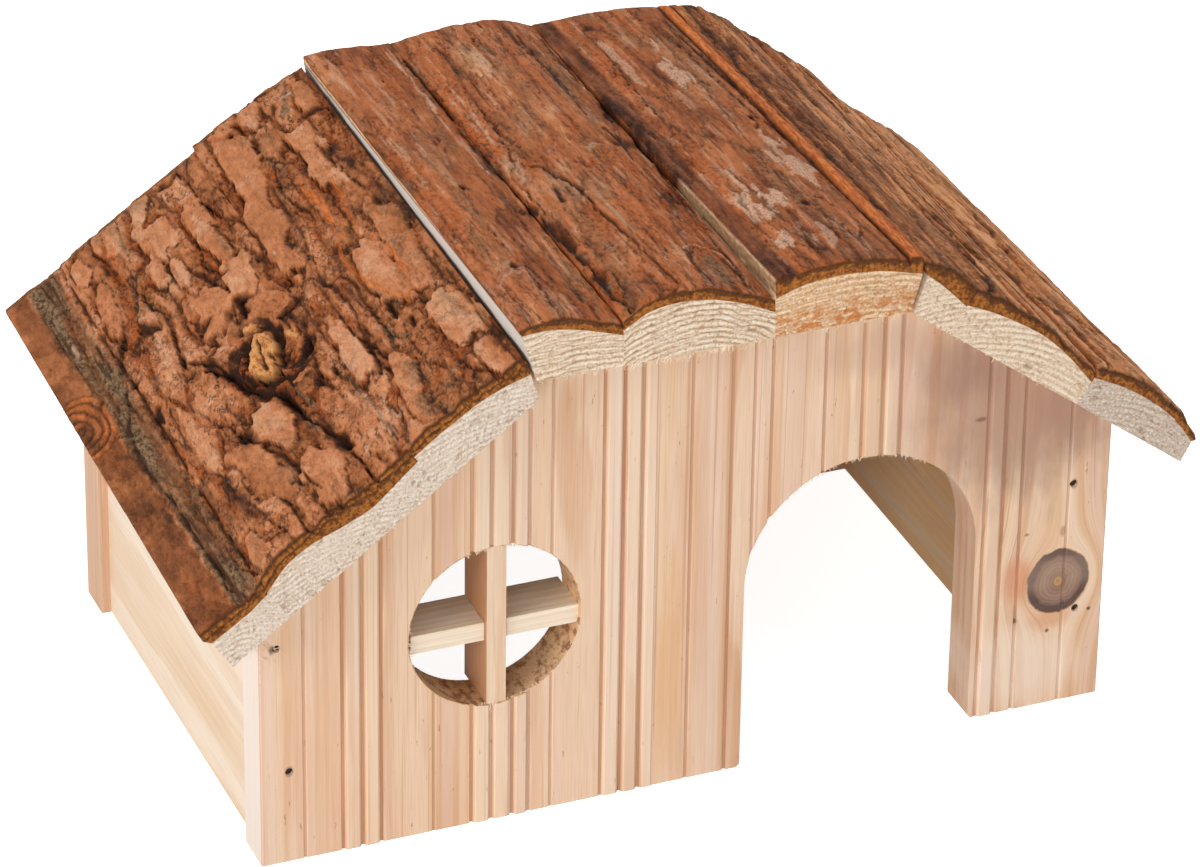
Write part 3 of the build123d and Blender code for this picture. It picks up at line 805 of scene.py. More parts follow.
# %% [markdown]
# ## Bark
# Pine bark is built of flakes that lie over each other. On the left slope they
# are thick scales with dark cracks, on the top the bark is younger and redder,
# nearly smooth, with long cracks, and on the right slope it is ridged. Each
# kind is a height over the slab and a few stored numbers: how light the bark
# is, how dark a crack is together with the shade painted into seams and
# hollows, how orange, how grey, how pale. The material reads those numbers.

# %% Bark finish
# One stored number holds how dark a crack is, together with the painted shade in seams, hollows, furrows and
# gaps.
KINDS = ("tone", "crack", "warm", "grey", "pale", "gold", "rind", "ember", "calm")


def torn_layers(finish, scale, steps, shift=(0, 0, 0)):
    """Thin layers torn like paper: the shade of each, a dark line of painted shade at its foot, and the
    stepped height.
    """
    level = finish.noise(scale, 7.0, 0.62, shift) * steps
    layer = finish.math("FLOOR", level)
    part = level - layer
    shade = finish.math("FRACT", layer * 0.618)
    return shade, finish.band(part, 0.8, 0.97), layer + finish.band(part, 0.0, 0.35, 0.0, 0.4)


def bark(name, orange, deep, dusty, layers, coarse, shades):
    """Shades run from the darkest to the lightest tone. Where calm is 1, the bark is smoother."""
    finish = Finish(name)
    tone, crack, warm, grey, pale, gold, rind, ember, calm = (finish.grown(kind) for kind in KINDS)
    shade, foot, stepped = torn_layers(finish, layers, 9.0)
    shade2, foot2, stepped2 = torn_layers(finish, tuple(2.6 * k for k in layers), 6.0, (7, 2, 5))
    come = finish.band(finish.noise((60, 40, 60), shift=(8, 8, 8)), 0.4, 0.6, 0.2, 0.85)
    come = come * finish.band(calm, 0.0, 1.0, 1.0, 0.15)
    still = finish.band(calm, 0.0, 1.0, coarse, 0.55 * coarse)
    grain = finish.noise((520, 330, 520), 6.0, 0.7)
    dust = finish.noise((2300, 1500, 2300), 4.0, 0.65)
    crumb = finish.noise((1000, 600, 1000), 4.0, 0.7, (5, 3, 1))
    blots = finish.noise((110, 60, 110), 4.0, 0.6)
    strands = finish.noise((1100, 260, 1100), 5.0, 0.7, (2, 9, 4))

    spread = tone + (blots - 0.5) * (still * 0.45) + (crumb - 0.5) * (still * 0.6)
    colour = finish.shades(spread + (shade - 0.5) * 0.2 + (shade2 - 0.5) * 0.12, shades)
    colour = finish.mix(finish.band(grain, 0.52, 0.72, 0.0, 0.45) * still, colour, orange)
    # Painted shade: a dark line at the foot of each torn layer.
    colour = finish.mix(foot * come, colour, deep)
    colour = finish.mix(foot2 * (come * 0.4), colour, deep)
    colour = finish.mix(finish.band(grain, 0.46, 0.3, 0.0, 0.55) * still, colour, deep)
    colour = finish.mix(warm, colour, finish.over(deep, orange, crumb, 0.34, 0.56))
    colour = finish.mix(grey, colour, finish.over(paint(74, 50, 28), paint(160, 126, 90), crumb, 0.36, 0.62))
    thin_flake = finish.over(paint(196, 142, 110), paint(236, 194, 162), dust, 0.35, 0.65)
    raw_wood = finish.over(paint(216, 164, 112), paint(248, 218, 176), crumb, 0.35, 0.65)
    colour = finish.mix(pale, colour, finish.over(thin_flake, raw_wood, pale, 0.93, 0.99))
    glow = finish.over(paint(176, 80, 26), paint(244, 142, 70), strands, 0.3, 0.66)
    colour = finish.mix(ember, colour, glow)
    # Cracks and the painted shade are near black.
    colour = finish.mix(crack, colour, finish.mix(grain, paint(14, 7, 3), paint(78, 40, 20)))
    colour = finish.over(colour, finish.mix(strands, paint(50, 26, 10), paint(116, 66, 28)), rind, 0.05, 0.5)
    fresh = finish.over(paint(112, 58, 18), paint(190, 118, 48), strands, 0.36, 0.62)
    colour = finish.over(colour, fresh, rind, 0.55, 0.9)
    heart = finish.over(paint(176, 96, 40), paint(240, 168, 98), grain, 0.36, 0.56)
    colour = finish.mix(gold, colour, finish.over(heart, paint(250, 208, 152), dust, 0.5, 0.78))
    colour = finish.over(colour, paint(216, 176, 142), dust, 0.6, 0.8, dusty)
    colour = finish.mix(finish.band(dust, 0.42, 0.25, 0.0, 0.5) * still, colour, deep)
    height = grain + (dust + crumb) * 0.5 + (stepped + stepped2) * 0.22
    return finish.close(colour, finish.band(grain, 0.3, 0.7, 0.8, 0.55), height, 0.95 * coarse, 0.2)


print("numbers that the bark reads:", KINDS)

# %% Three kinds of bark
left_bark = bark("left_bark", paint(190, 96, 36), paint(64, 32, 14), 0.3, (80, 46, 80), 0.8, [
    (0.0, 48, 24, 10), (0.2, 100, 54, 24), (0.38, 152, 88, 46), (0.55, 190, 116, 68),
    (0.75, 216, 138, 90), (1.0, 232, 170, 128)])
top_bark = bark("top_bark", paint(200, 100, 34), paint(78, 38, 14), 0.12, (90, 17, 90), 0.5, [
    (0.0, 58, 26, 8), (0.22, 112, 56, 24), (0.45, 164, 90, 46), (0.65, 196, 114, 64),
    (0.85, 212, 134, 84), (1.0, 228, 168, 124)])
# The right slope's shades are painted brighter, as light for a slope that the lamps hardly reach.
right_bark = bark("right_bark", paint(206, 116, 54), paint(90, 48, 22), 0.22, (80, 36, 80), 0.6, [
    (0.0, 96, 50, 20), (0.3, 170, 100, 52), (0.6, 236, 156, 96), (1.0, 252, 194, 140)])
print("three kinds of bark")

# %% [markdown]
# ## Scales
# The flakes are long cells that lie along the trunk. Their outlines are bent by
# soft noise, first widely and then finely, so they look torn. Between two
# flakes the young bark shows through, brown or orange, and in the deepest
# places the gap is painted black as shade. Each flake has its own height and
# its own shade.
# Prominent cracks, streaks and patches are placed one by one over them.

# %% Skin
class Skin:
    """Height and stored numbers of a stretch of bark while they grow."""

    def __init__(self, y, s):
        self.y, self.s, self.height = y, s, np.zeros_like(y)
        self.numbers = {kind: np.zeros_like(y) for kind in KINDS}

    def haze(self, size_y, size_s, seed, layers, low, high):
        """A cloud with a clear border."""
        return soft_step(cloud(self.y, self.s, size_y, size_s, seed, layers), low, high)

    def clear(self, amount, *kinds):
        for kind in kinds:
            self.numbers[kind] = self.numbers[kind] * (1 - amount)

    def show(self, kind, value, gone=0.0):
        """Raise a number to at least this value, after part of it is gone."""
        self.numbers[kind] = np.maximum(self.numbers[kind] * (1 - gone), value)


print("a skin holds", list(Skin(np.zeros(1), np.zeros(1)).numbers))


# %% Flakes
def flakes(y, s, size_y, size_s, seed, bend, ragged):
    """Long cells with torn outlines: shade, height, neighbour's height, distance to the edge."""
    wide_y = bend * 0.2 * size_y * cloud(y, s, size_y * 0.6, size_s * 1.2, seed + 1)
    wide_s = bend * 0.26 * size_s * cloud(y, s, size_y * 0.7, size_s * 1.3, seed + 2)
    return cells(y + wide_y + 1.6 * cloud(y, s, 3.6, 2.2, seed + 3),
                 s + wide_s + ragged * cloud(y, s, 3.0, 1.5, seed + 4), size_y, size_s, seed)


def scales(skin, y, s, shape, core, halo, seed):
    """Flakes, and the seams where one dips under the next: a dark core of painted shade, strongest on the
    lower flake, in a brown halo that is also darker on that side. Gives shade, height, distance to the edge,
    core and halo."""
    shade, lift, next_lift, edge = flakes(y, s, *shape)
    # The lower of two flakes gets the painted shade.
    under = soft_step(next_lift - lift, 0.0, 0.35)
    dark = fade(edge, core * 0.2, core) * (0.15 + 0.85 * under) * skin.haze(9, 5, seed, 3, -0.1, 0.4)
    soft = fade(edge, halo * 0.55, halo) * (0.45 + 0.55 * under)
    return shade, lift, edge, dark, soft * (0.6 + 0.4 * skin.haze(6, 3, seed + 1, 3, -0.5, 0.3))


def terraces(y, s, size_y, size_s, steps, seed):
    """Torn layers: the stepped height, a dark line of painted shade at the foot of each step, and a shade for
    each layer.
    """
    level = steps * (0.5 + 0.5 * cloud(y, s, size_y, size_s, seed, 5))
    layer = np.floor(level)
    part = level - layer
    return (layer + soft_step(part, 0.0, 0.22)) / steps, soft_step(part, 0.76, 0.96), (layer * 0.618) % 1


sample = flakes(np.array([3.0]), np.array([4.0]), 30, 8, 5, 1.0, 0.5)
print("edge of one flake", round(float(sample[3][0]), 2))


# %% Forms placed one by one
def inside(y, s, outline):
    """Distance to a closed outline, positive inside."""
    away, _ = near(y, s, outline + outline[:1])
    odd = np.zeros(y.shape, bool)
    for (a, b), (c, d) in zip(outline, outline[1:] + outline[:1]):
        odd ^= ((b > s) != (d > s)) & (y < (c - a) * (s - b) / (d - b + 1e-9) + a)
    return np.where(odd, away, -away)


def rows(text):
    """Rows of a table: a kind, its numbers, and after the colon its points, each as y,s in millimetres."""
    table = []
    for row in text.strip().split("\n"):
        head, line = row.split(":")
        kind, *numbers = head.split()
        points = [tuple(float(n) for n in point.split(",")) for point in line.split()]
        table.append((kind, [float(n) for n in numbers], points))
    return table


def mark(skin, kind, width, amount, lift, line, seed):
    """Paint one crack or streak along a bent line, and press or lift the bark there."""
    y, s = skin.y, skin.s
    py = y + 1.4 * cloud(y, s, 5, 3, 930 + seed, 2)
    ps = s + (0.25 + 0.5 * min(width, 1.2)) * cloud(y, s, 5, 3, 950 + seed, 4)
    away, along = near(py, ps, line)
    wide = width * np.clip(0.75 + 0.9 * cloud(y, s, 5, 3, 900 + seed, 2), 0.15, 1.6)
    wide = wide * (0.25 + 0.75 * soft_step(np.minimum(along, 1 - along), 0.0, 0.22))
    close = fade(away, 0.3 * wide, 1.1 * wide + 0.1)
    skin.show(kind, amount * close)
    # A crack is painted dark, and painted shade spreads round it.
    if kind == "crack":
        skin.numbers["tone"] = skin.numbers["tone"] - 0.3 * amount * fade(away, 0.8 * wide, 2.6 * wide + 0.3)
    skin.height = skin.height + lift * close


def patch(skin, kind, amount, lift, place, size, seed):
    """Paint an oval patch with a torn outline, such as a thin flake that is left."""
    y, s = skin.y, skin.s
    away = np.hypot((y - place[0]) / size[0], (s - place[1]) / size[1])
    close = fade(away + 0.95 * cloud(y, s, 8, 2.2, 700 + seed, 5), 0.74, 0.84)
    skin.show(kind, amount * close)
    skin.height = skin.height + lift * close


print("a row reads as", rows("crack 0.9 1 -1.5: -80,55 -60,54"))

# %% Marks of the left slope
# Each row: the kind, its width, strength and lift, then the points of its line.
left_marks = rows("""
crack 0.9 1 -1.5: -80,55 -60,54 -45,51 -28,48 -20,43
crack 1 0.95 -1.3: -20,43 -12,41 -3,40 2,37 7,33
crack 1.5 1 -1.6: -62,55 -56,53
grey 0.7 0.8 0.2: -50,50.4 -34,49.6
crack 0.6 0.9 -0.9: -70,43.5 -60,42 -48,40.5 -38,37 -28,32
crack 1.8 0.95 -1.4: -35,35.4 -29,34.4
crack 1.2 1 -1: -80,44 -77,44
crack 0.9 1 -1: -41,25.6 -39.6,25.6
crack 1.2 1 -1: -4,21 3,21.6
crack 0.9 1 -1: 15.6,19 16.4,22
crack 1.5 0.95 -1.3: 25,34 29,31 33,30
crack 0.7 0.9 -0.9: 27,51 26,56
crack 0.6 0.9 -0.7: 27,51 33,49.6
crack 1.5 1 -2.2: 14,56 11,53.3 6.3,52.4
crack 1.5 1 -2.4: -5.2,50.3 -9,47.6 -13.1,45.3
crack 1.3 1 -2.2: -14.9,41.3 -18.3,43.4 -21.3,46.3
crack 1.5 1 -1.8: -26.6,49 -32.6,49 -39.2,50.6 -42.3,50.2
crack 1 1 -1.6: -3.2,65.8 -4.5,62.5 -4.9,59
crack 1.4 1 -2.2: -18.5,62.2 -22.1,61 -22.8,58.9
crack 0.9 1 -1.2: -2,37.2 -6.6,40.7 -12.7,41.3
crack 0.9 1 -1.4: 5.8,40.5 5.3,43.5
crack 0.8 0.8 -0.8: 11.9,41.3 14.1,46.4
crack 0.4 0.8 -0.4: -12.3,66.3 -19,65.6 -25.1,65.2 -31.5,65.5
grey 0.5 0.9 0.3: -30,51.6 -36,53 -41,52.6
warm 1.2 0.9 0.2: -24,53.4 -19,56.6 -26,55
warm 1.2 0.9 0: -22,45 -28,46.8
crack 0.6 0.8 -0.7: -26,60 -34,58 -40,60
crack 0.8 0.8 -0.7: 3,40 6,44
crack 0.7 0.7 -0.6: 12,41 14,45
crack 0.6 0.9 -0.7: -50,68 -50,71 -44,72
crack 0.5 0.8 -0.6: -44,72 -30,73.4 -18,75.4 -6,73 6,74
crack 0.45 0.75 -0.5: 6,73.6 16,76 30,76.4 44,77
crack 0.6 0.85 -0.4: -78,97.6 -50,97.9 -20,98.6
crack 0.7 0.95 -0.5: -80,91.6 -70,91.8
crack 0.6 0.9 -0.7: 5,97 17,95 30,93 45,92
crack 0.7 1 -0.7: 57,99 60,95
crack 0.8 1 -1.1: -42,84 -38,84.4
crack 0.8 1 -1.1: -36,82 -27,82.4
crack 0.5 0.85 -0.5: -60,90 -58,96
crack 0.5 0.85 -0.5: -66,84 -52,80.6 -40,82
crack 0.8 0.8 -0.6: 66,88 71,90
crack 0.7 0.85 -0.7: -80,18.1 -30,19 20,20.2 80,21.4
crack 0.6 0.95 -0.6: -80,11.4 -40,11.8 -4,11.2 10,15 18,18.6
warm 1.6 0.95 -0.5: 16,23 30,28 44,31 62,32 72,35
ember 1 0.85 -0.3: 6,83 20,84 34,83
ember 0.7 0.8 -0.3: -30,89 -20,90.6 -8,90.4 4,87
ember 0.8 0.8 -0.3: -26,84 -14,81 0,80 8,82.6
ember 0.7 0.75 -0.3: 4,87 16,89 28,90
ember 0.7 0.7 -0.3: -30,89 -33,86 -26,84
ember 0.6 0.6 -0.3: -2,87 2,92 14,95
ember 0.7 0.7 -0.3: 40,32 56,33 70,36
warm 0.8 0.9 -0.3: -58,23 -44,23.6 -28,21.4 -4,19
warm 1.2 0.95 -0.3: -54,19.6 -34,18 -10,18.4
warm 0.8 0.7 -0.3: 28,53 50,52.6 62,55 78,54
warm 0.7 0.6 -0.3: 20,42 34,45 50,44 70,40
warm 0.9 0.6 -0.4: 54,86 66,82 72,74 80,68
warm 0.8 0.6 -0.2: -72,25 -60,27
warm 1 0.95 0: 69,12.6 73,12.6
grey 0.9 0.4 0: -50,20.8 -30,20.4
grey 2.6 0.8 0.3: -42,77 -34,79
grey 1.6 0.8 0.3: -46,82 -40,80
grey 1.6 0.8 0.2: 63,90 73,95
grey 2.6 0.5 0.2: -76,76 -66,75
grey 2.4 0.5 0.2: -64,78 -54,77
grey 3 0.4 0.2: -52,95 -38,94
grey 2.4 0.35 0.2: -76,20 -66,24
grey 2 0.4 0.1: 40,82 50,81
grey 1.2 0.5 0.1: 30,58 44,60
pale 0.8 0.6 0.1: -75,64 -55,64.4 -40,64
pale 0.6 0.8 0.1: 42,13 47,13
pale 0.6 0.9 0.2: 64,92 66,93
pale 0.5 0.8 0.2: 69,96 71,91
pale 1.1 0.95 0.1: 17,68 18.6,68
pale 0.7 0.8 0.3: -38,79 -36,78
""")
print(len(left_marks), "marks on the left slope")

# %% Forms of the left slope
KNOT = (-14.0, 52.0)  # y and s of the branch stub's middle
# The stub's lobes have a lift and a strength, its dark slits a width, and the thin flakes that are left on
# the bark a lift, a tone and a warmth.
stubs = rows("""
stub 1.9 1: -4,51.6 -6.1,54.3 -8.8,55.4 -13.3,54.9 -22.1,51.6 -23.5,49.4 -20.7,47 -15.7,45.5 -9.9,48.3
stub 1.2 1: -10.2,58.5 -11.8,60.1 -14.2,61.3 -16.9,59 -13.3,58.2
stub 1.1 1: 0.6,49.4 2.1,50.5 1.3,52.9 -0.6,54 -2.9,52.9 -1,51
""")
slits = rows("""
slit 0.55: -7.5,51.9 -12.7,50.7 -16.9,50 -20,49.6
slit 0.4: -14.9,52.3 -19.7,52
slit 0.4: -12.6,59.8 -14,59.8
""")
scraps = rows("""
scrap 1.2 0.62 0.45: 9.3,55.1 9.4,59.3 2.4,64.6 -3,65 -4.4,60.5 0.4,55.6 5.6,54.2
scrap 0.9 0.66 0: 7,33.8 3,39.3 -5.5,43.1 -3.8,38.7 2,34.4
scrap 0.8 0.7 0: -24,62.1 -29.3,58.7 -37.6,60.4 -32,64.8
scrap 0.5 0.8 0: -29,51.8 -26.5,55.5 -28.5,58.2 -31,55
scrap 0.6 0.5 0.3: 6.5,47.5 3.4,45.6 -3.5,46.6 -1,49
scrap 0.5 0.6 0.1: 3,57 -1.6,56.4 -7.6,57.6 -4.4,59
""")
# Large smooth scales: middle y and s, half length and half width.
plates = [
    (-46, 35, 17, 5), (-67, 47.5, 10, 5), (-36, 44, 11, 4.4), (-69, 23, 7, 3), (56, 46, 9, 4), (72, 46, 8, 4),
    (54, 57, 7, 3.4), (40, 57.5, 11, 2.6), (39, 45.5, 6, 2), (46, 41, 7, 3), (72, 34.5, 8, 3.5),
    (48, 26, 13, 3.2), (66, 25.5, 7, 3.4), (-35, 69, 17, 3.2), (44, 72.5, 37, 4.4), (-14, 86.5, 15, 4.4),
    (-52, 93, 11, 5), (-12, 93, 20, 4), (43, 90, 17, 4), (58, 84, 6, 4), (64, 97, 7, 3), (75, 84, 6, 4),
    (-66, 74, 9, 2.4), (-56, 76.5, 9, 3), (-71, 94.5, 9, 3.4), (18, 46, 9, 6), (20, 58, 10, 4),
]
print(len(stubs), "lobes,", len(slits), "slits,", len(scraps), "thin flakes")


# %% Scales of the left slope
def left_scales(skin, bent, fine, rough):
    """Two sizes of flakes, torn layers, and the large scales over them."""
    y, s, numbers = skin.y, skin.s, skin.numbers
    shade, lift, edge, dark, halo = scales(skin, y, bent, (38, 8.6, 5, 1.0, 0.6), 0.9, 2.3, 50)
    small = scales(skin, y + 90, bent + 30, (16, 4.4, 15, 0.8, 0.5), 0.5, 1.2, 60)
    shade2, lift2, edge2, dark2, halo2 = small
    layer, foot, layer_shade = terraces(y, bent, 24, 8, 8, 71)
    split = skin.haze(16, 9, 9, 2, -0.1, 0.4)
    height = ((lift - 0.45) + 0.4 * (lift2 - 0.45) * split + 1.5 * (layer - 0.5)
              - 0.55 * halo - 0.25 * halo2 * split - 0.6 * dark)
    brown = np.clip(halo + 0.7 * halo2 * split, 0, 1)
    plate, ring = np.zeros_like(y), np.zeros_like(y)
    for seed, (middle_y, middle_s, half_y, half_s) in enumerate(plates):
        off_y, off_s = y - middle_y, s - middle_s
        dy, ds = np.abs(off_y) / half_y, np.abs(off_s - 0.09 * off_y * (seed % 3 - 1)) / half_s
        reach = (dy**3 + ds**3) ** (1 / 3) + 0.55 * cloud(y, s, 9, 3.6, 600 + seed, 5)
        on = fade(reach, 0.93, 0.99)
        # The side where a scale lies over the bark below it gets a brown rim of painted shade.
        below = -off_s / half_s + 0.3 * off_y / half_y + 1.2 * cloud(y, s, 9, 5, 640 + seed, 3)
        below = soft_step(below, -0.5, 0.7)
        rim = fade(np.abs(reach - 1.09), 0.06, 0.2 * (0.4 + below)) * (0.15 + 0.85 * below) * (1 - plate)
        broken = 0.3 + 0.7 * skin.haze(8, 4, 670 + seed, 3, -0.3, 0.2)
        thin = fade(np.abs(reach - 1.02), 0.02, 0.07) * broken
        height = height * (1 - 0.85 * on) + on * (0.45 + 0.14 * (seed % 4) - 0.2 * reach) - 0.7 * rim
        brown = np.clip(brown * (1 - on) + 0.9 * rim, 0, 1)
        ring = np.maximum(ring * (1 - on), 0.9 * thin * (1 - plate))
        dark, dark2 = dark * (1 - on), dark2 * (1 - on)
        shade, shade2 = shade * (1 - on) + on * (seed * 0.37 % 1), shade2 * (1 - on) + 0.5 * on
        plate = np.maximum(plate * (1 - rim), on)
    brown = np.clip(0.8 * brown + 0.3 * skin.haze(14, 6, 23, 5, 0.1, 0.3) * (1 - 0.9 * plate), 0, 1)
    numbers["calm"] = 0.6 * plate
    numbers["tone"] = (0.74 + 0.34 * (shade - 0.5) + 0.1 * (shade2 - 0.5) * split
                       + 0.22 * (layer_shade - 0.5) * (1 - 0.5 * plate) - 0.38 * brown + 0.06 * plate
                       + 0.1 * plate * cloud(y, s, 6, 2.6, 25, 4) + (0.08 + 0.2 * brown) * rough)
    # Painted shade: dark lines at the feet of the torn layers, along the seams and round the scales.
    foot = foot * (1 - 0.5 * plate) * skin.haze(10, 5, 72, 3, -0.25, 0.2)
    line = fade(edge, 0.15, 0.55) * (0.35 + 0.65 * skin.haze(12, 6, 26, 3, -0.3, 0.2)) * (1 - plate)
    line2 = fade(edge2, 0.1, 0.4) * split * skin.haze(8, 4, 27, 3, -0.3, 0.2) * (1 - plate)
    black = np.maximum.reduce([dark, 0.9 * line, 0.7 * line2, ring, 0.8 * foot, 0.8 * dark2 * split])
    numbers["crack"] = np.clip(black + 0.3 * brown * soft_step(rough, 0.2, 0.6), 0, 1)
    numbers["warm"] = 0.9 * brown * skin.haze(16, 9, 10, 3, -0.15, 0.3)
    numbers["grey"] = 0.4 * skin.haze(26, 12, 77, 3, 0.15, 0.5) * skin.haze(5, 2, 78, 4, -0.3, 0.3)
    skin.height = height + 0.1 * fine + (0.05 + 0.25 * brown) * rough
    return layer_shade


print("two sizes of flakes under", len(plates), "large scales")


# %% Eave side of the left slope
def eave_side(skin, fine, layer_shade):
    """Smooth red bark along the eave, a grey furrowed strip above it, and one orange whorl."""
    y, s, numbers = skin.y, skin.s, skin.numbers
    smooth = fade(s + 0.8 * fine, 9.6, 10.6)
    red = 0.33 + 0.1 * (layer_shade - 0.5) + 0.07 * cloud(y, s, 9, 3, 14, 4) + 0.1 * soft_step(y, 20, 40)
    skin.clear(0.75 * smooth, "crack", "warm")
    skin.show("calm", smooth)
    numbers["tone"] = numbers["tone"] * (1 - smooth) + smooth * red
    strip = soft_step(s + 0.6 * fine, 10.0, 11.2) * fade(s + 0.9 * fine - 0.012 * (y + HALF), 16.6, 18.6)
    strip = strip * (0.55 + 0.45 * skin.haze(26, 4, 73, 3, -0.4, 0.1))
    furrow = soft_step(-cloud(y + 3 * fine, s, 26, 1.5, 74, 3), 0.05, 0.4)
    skin.height = skin.height * (1 - 0.7 * smooth) * (1 - 0.6 * strip) + strip * (0.2 - 0.7 * furrow)
    skin.show("grey", strip * (1 - 0.5 * furrow), smooth)
    # Painted shade in the furrows.
    skin.show("crack", 0.85 * strip * furrow, strip)
    whorl = np.hypot((y - 15) / 1.45, s - 3.0) + 0.9 * cloud(y, s, 8, 5, 24, 4)
    near_whorl = fade(whorl, 8.5, 10.5) * fade(s, 11, 12.4)
    rings = 0.5 + 0.5 * np.sin(whorl * 3.2)
    numbers["ember"] = near_whorl * (0.2 + 0.5 * rings) * skin.haze(7, 4, 75, 3, -0.6, 0.2)
    # Painted shade in the hollows between the whorl's rings.
    skin.show("crack", 0.75 * near_whorl * soft_step(1 - rings, 0.6, 0.95), 0.7 * near_whorl)
    skin.clear(near_whorl, "grey")
    skin.height = skin.height + 0.45 * near_whorl * rings


print("the whorl lies at y 15, s 3")


# %% Branch stub
def knot_collar(skin, away, turn, fine):
    """Folded bark round the branch stub."""
    numbers = skin.numbers
    collar = fade(away + 1.5 * fine, 10, 14)
    folds = cloud(turn * 5 + away * 0.8, away + 30, 1.5, 1.9, 12, 4)
    skin.height = skin.height * (1 - 0.8 * collar) + collar * (0.3 + 1.5 * folds - 0.8 * fade(away, 4, 9))
    # Painted shade in the hollows of the folds.
    skin.show("crack", collar * soft_step(-folds, -0.25, 0.1), collar)
    skin.clear(collar, "calm")
    numbers["tone"] = numbers["tone"] - 0.34 * collar + 0.3 * collar * soft_step(folds, 0.15, 0.5)
    warmth = 0.75 * collar * soft_step(folds, -0.15, 0.2) * skin.haze(9, 6, 76, 2, -0.3, 0.3)
    skin.show("warm", warmth, 0.5 * collar)


def place_scraps(skin, fine, rough):
    numbers = skin.numbers
    for _, (lift, tone, glow), outline in scraps:
        depth = inside(skin.y + 0.9 * fine, skin.s + 0.5 * rough, outline)
        on = soft_step(depth, -0.1, 0.35)
        skin.height = skin.height * (1 - on) + on * (lift + 0.25 * rough - 0.12 * np.clip(depth, 0, 4))
        numbers["tone"] = numbers["tone"] * (1 - on) + on * (tone + 0.2 * fine)
        skin.clear(on, "crack", "warm", "grey")
        skin.show("warm", glow * on * soft_step(fine, -0.2, 0.3))


def place_stub(skin, fine, rough):
    """The branch stub: torn golden lobes with dark slits in them."""
    y, s = skin.y, skin.s
    for _, (lift, amount), outline in stubs:
        depth = inside(y + 0.7 * fine, s + 0.35 * rough, outline)
        on = soft_step(depth, -0.1, 0.4)
        grain = 0.3 * cloud(y - 1.6 * s, s, 9, 1.1, 21, 3)
        skin.height = skin.height * (1 - on) + on * (lift + 0.3 * soft_step(depth, 0.3, 2.0) + grain)
        skin.clear(on, "crack", "warm", "grey", "pale", "ember")
        skin.show("gold", amount * on * (0.7 + 0.3 * soft_step(depth, 0.2, 0.9)))
    for _, (width,), line in slits:
        off, _ = near(y + 0.5 * fine, s + 0.4 * rough, line)
        on = fade(off, 0.5 * width, 1.2 * width)
        skin.height = skin.height - 0.9 * on
        skin.clear(on, "gold")
        # The pressed slits are painted dark as shade.
        skin.show("crack", 0.8 * on)


print("the stub lies at", KNOT)


# %% Bark of the left slope
def left_relief(y, s):
    """Thick scales round one large knot."""
    skin = Skin(y, s)
    numbers = skin.numbers
    away = np.hypot((y - KNOT[0]) / 1.35, s - KNOT[1])
    turn = np.arctan2(s - KNOT[1], (y - KNOT[0]) / 1.35)
    bent = s - (s - KNOT[1]) * 100 / np.maximum(away, 12) ** 2
    fine, rough = cloud(y, s, 3.2, 1.4, 17, 4), cloud(y, s, 2.0, 0.9, 19, 3)
    layer_shade = left_scales(skin, bent, fine, rough)
    eave_side(skin, fine, layer_shade)
    knot_collar(skin, away, turn, fine)
    place_scraps(skin, fine, rough)
    for seed, (kind, values, line) in enumerate(left_marks):
        mark(skin, kind, *values, line, seed)
    place_stub(skin, fine, rough)
    rim = 99.3 + 1.9 * (y + HALF) / (2 * HALF) - s
    skin.height = skin.height + 0.9 * fade(rim, 0.6, 4.0) * (1 - 0.8 * soft_step(y, -60, 20))
    skin.show("crack", 0.3 * fade(rim, 0.2, 0.6))
    strands = cloud(y, s, 16, 0.8, 13, 2) * numbers["grey"]
    # Painted shade between the grey strands.
    skin.show("crack", 0.6 * soft_step(-strands, 0.25, 0.6))
    numbers["crack"] = np.clip(numbers["crack"], 0, 1)
    numbers["tone"] = numbers["tone"] - 0.15 * fade(rim, 2.0, 6.0)
    skin.height = skin.height + 0.1 + 0.35 * strands
    return skin


print("left slope ready")

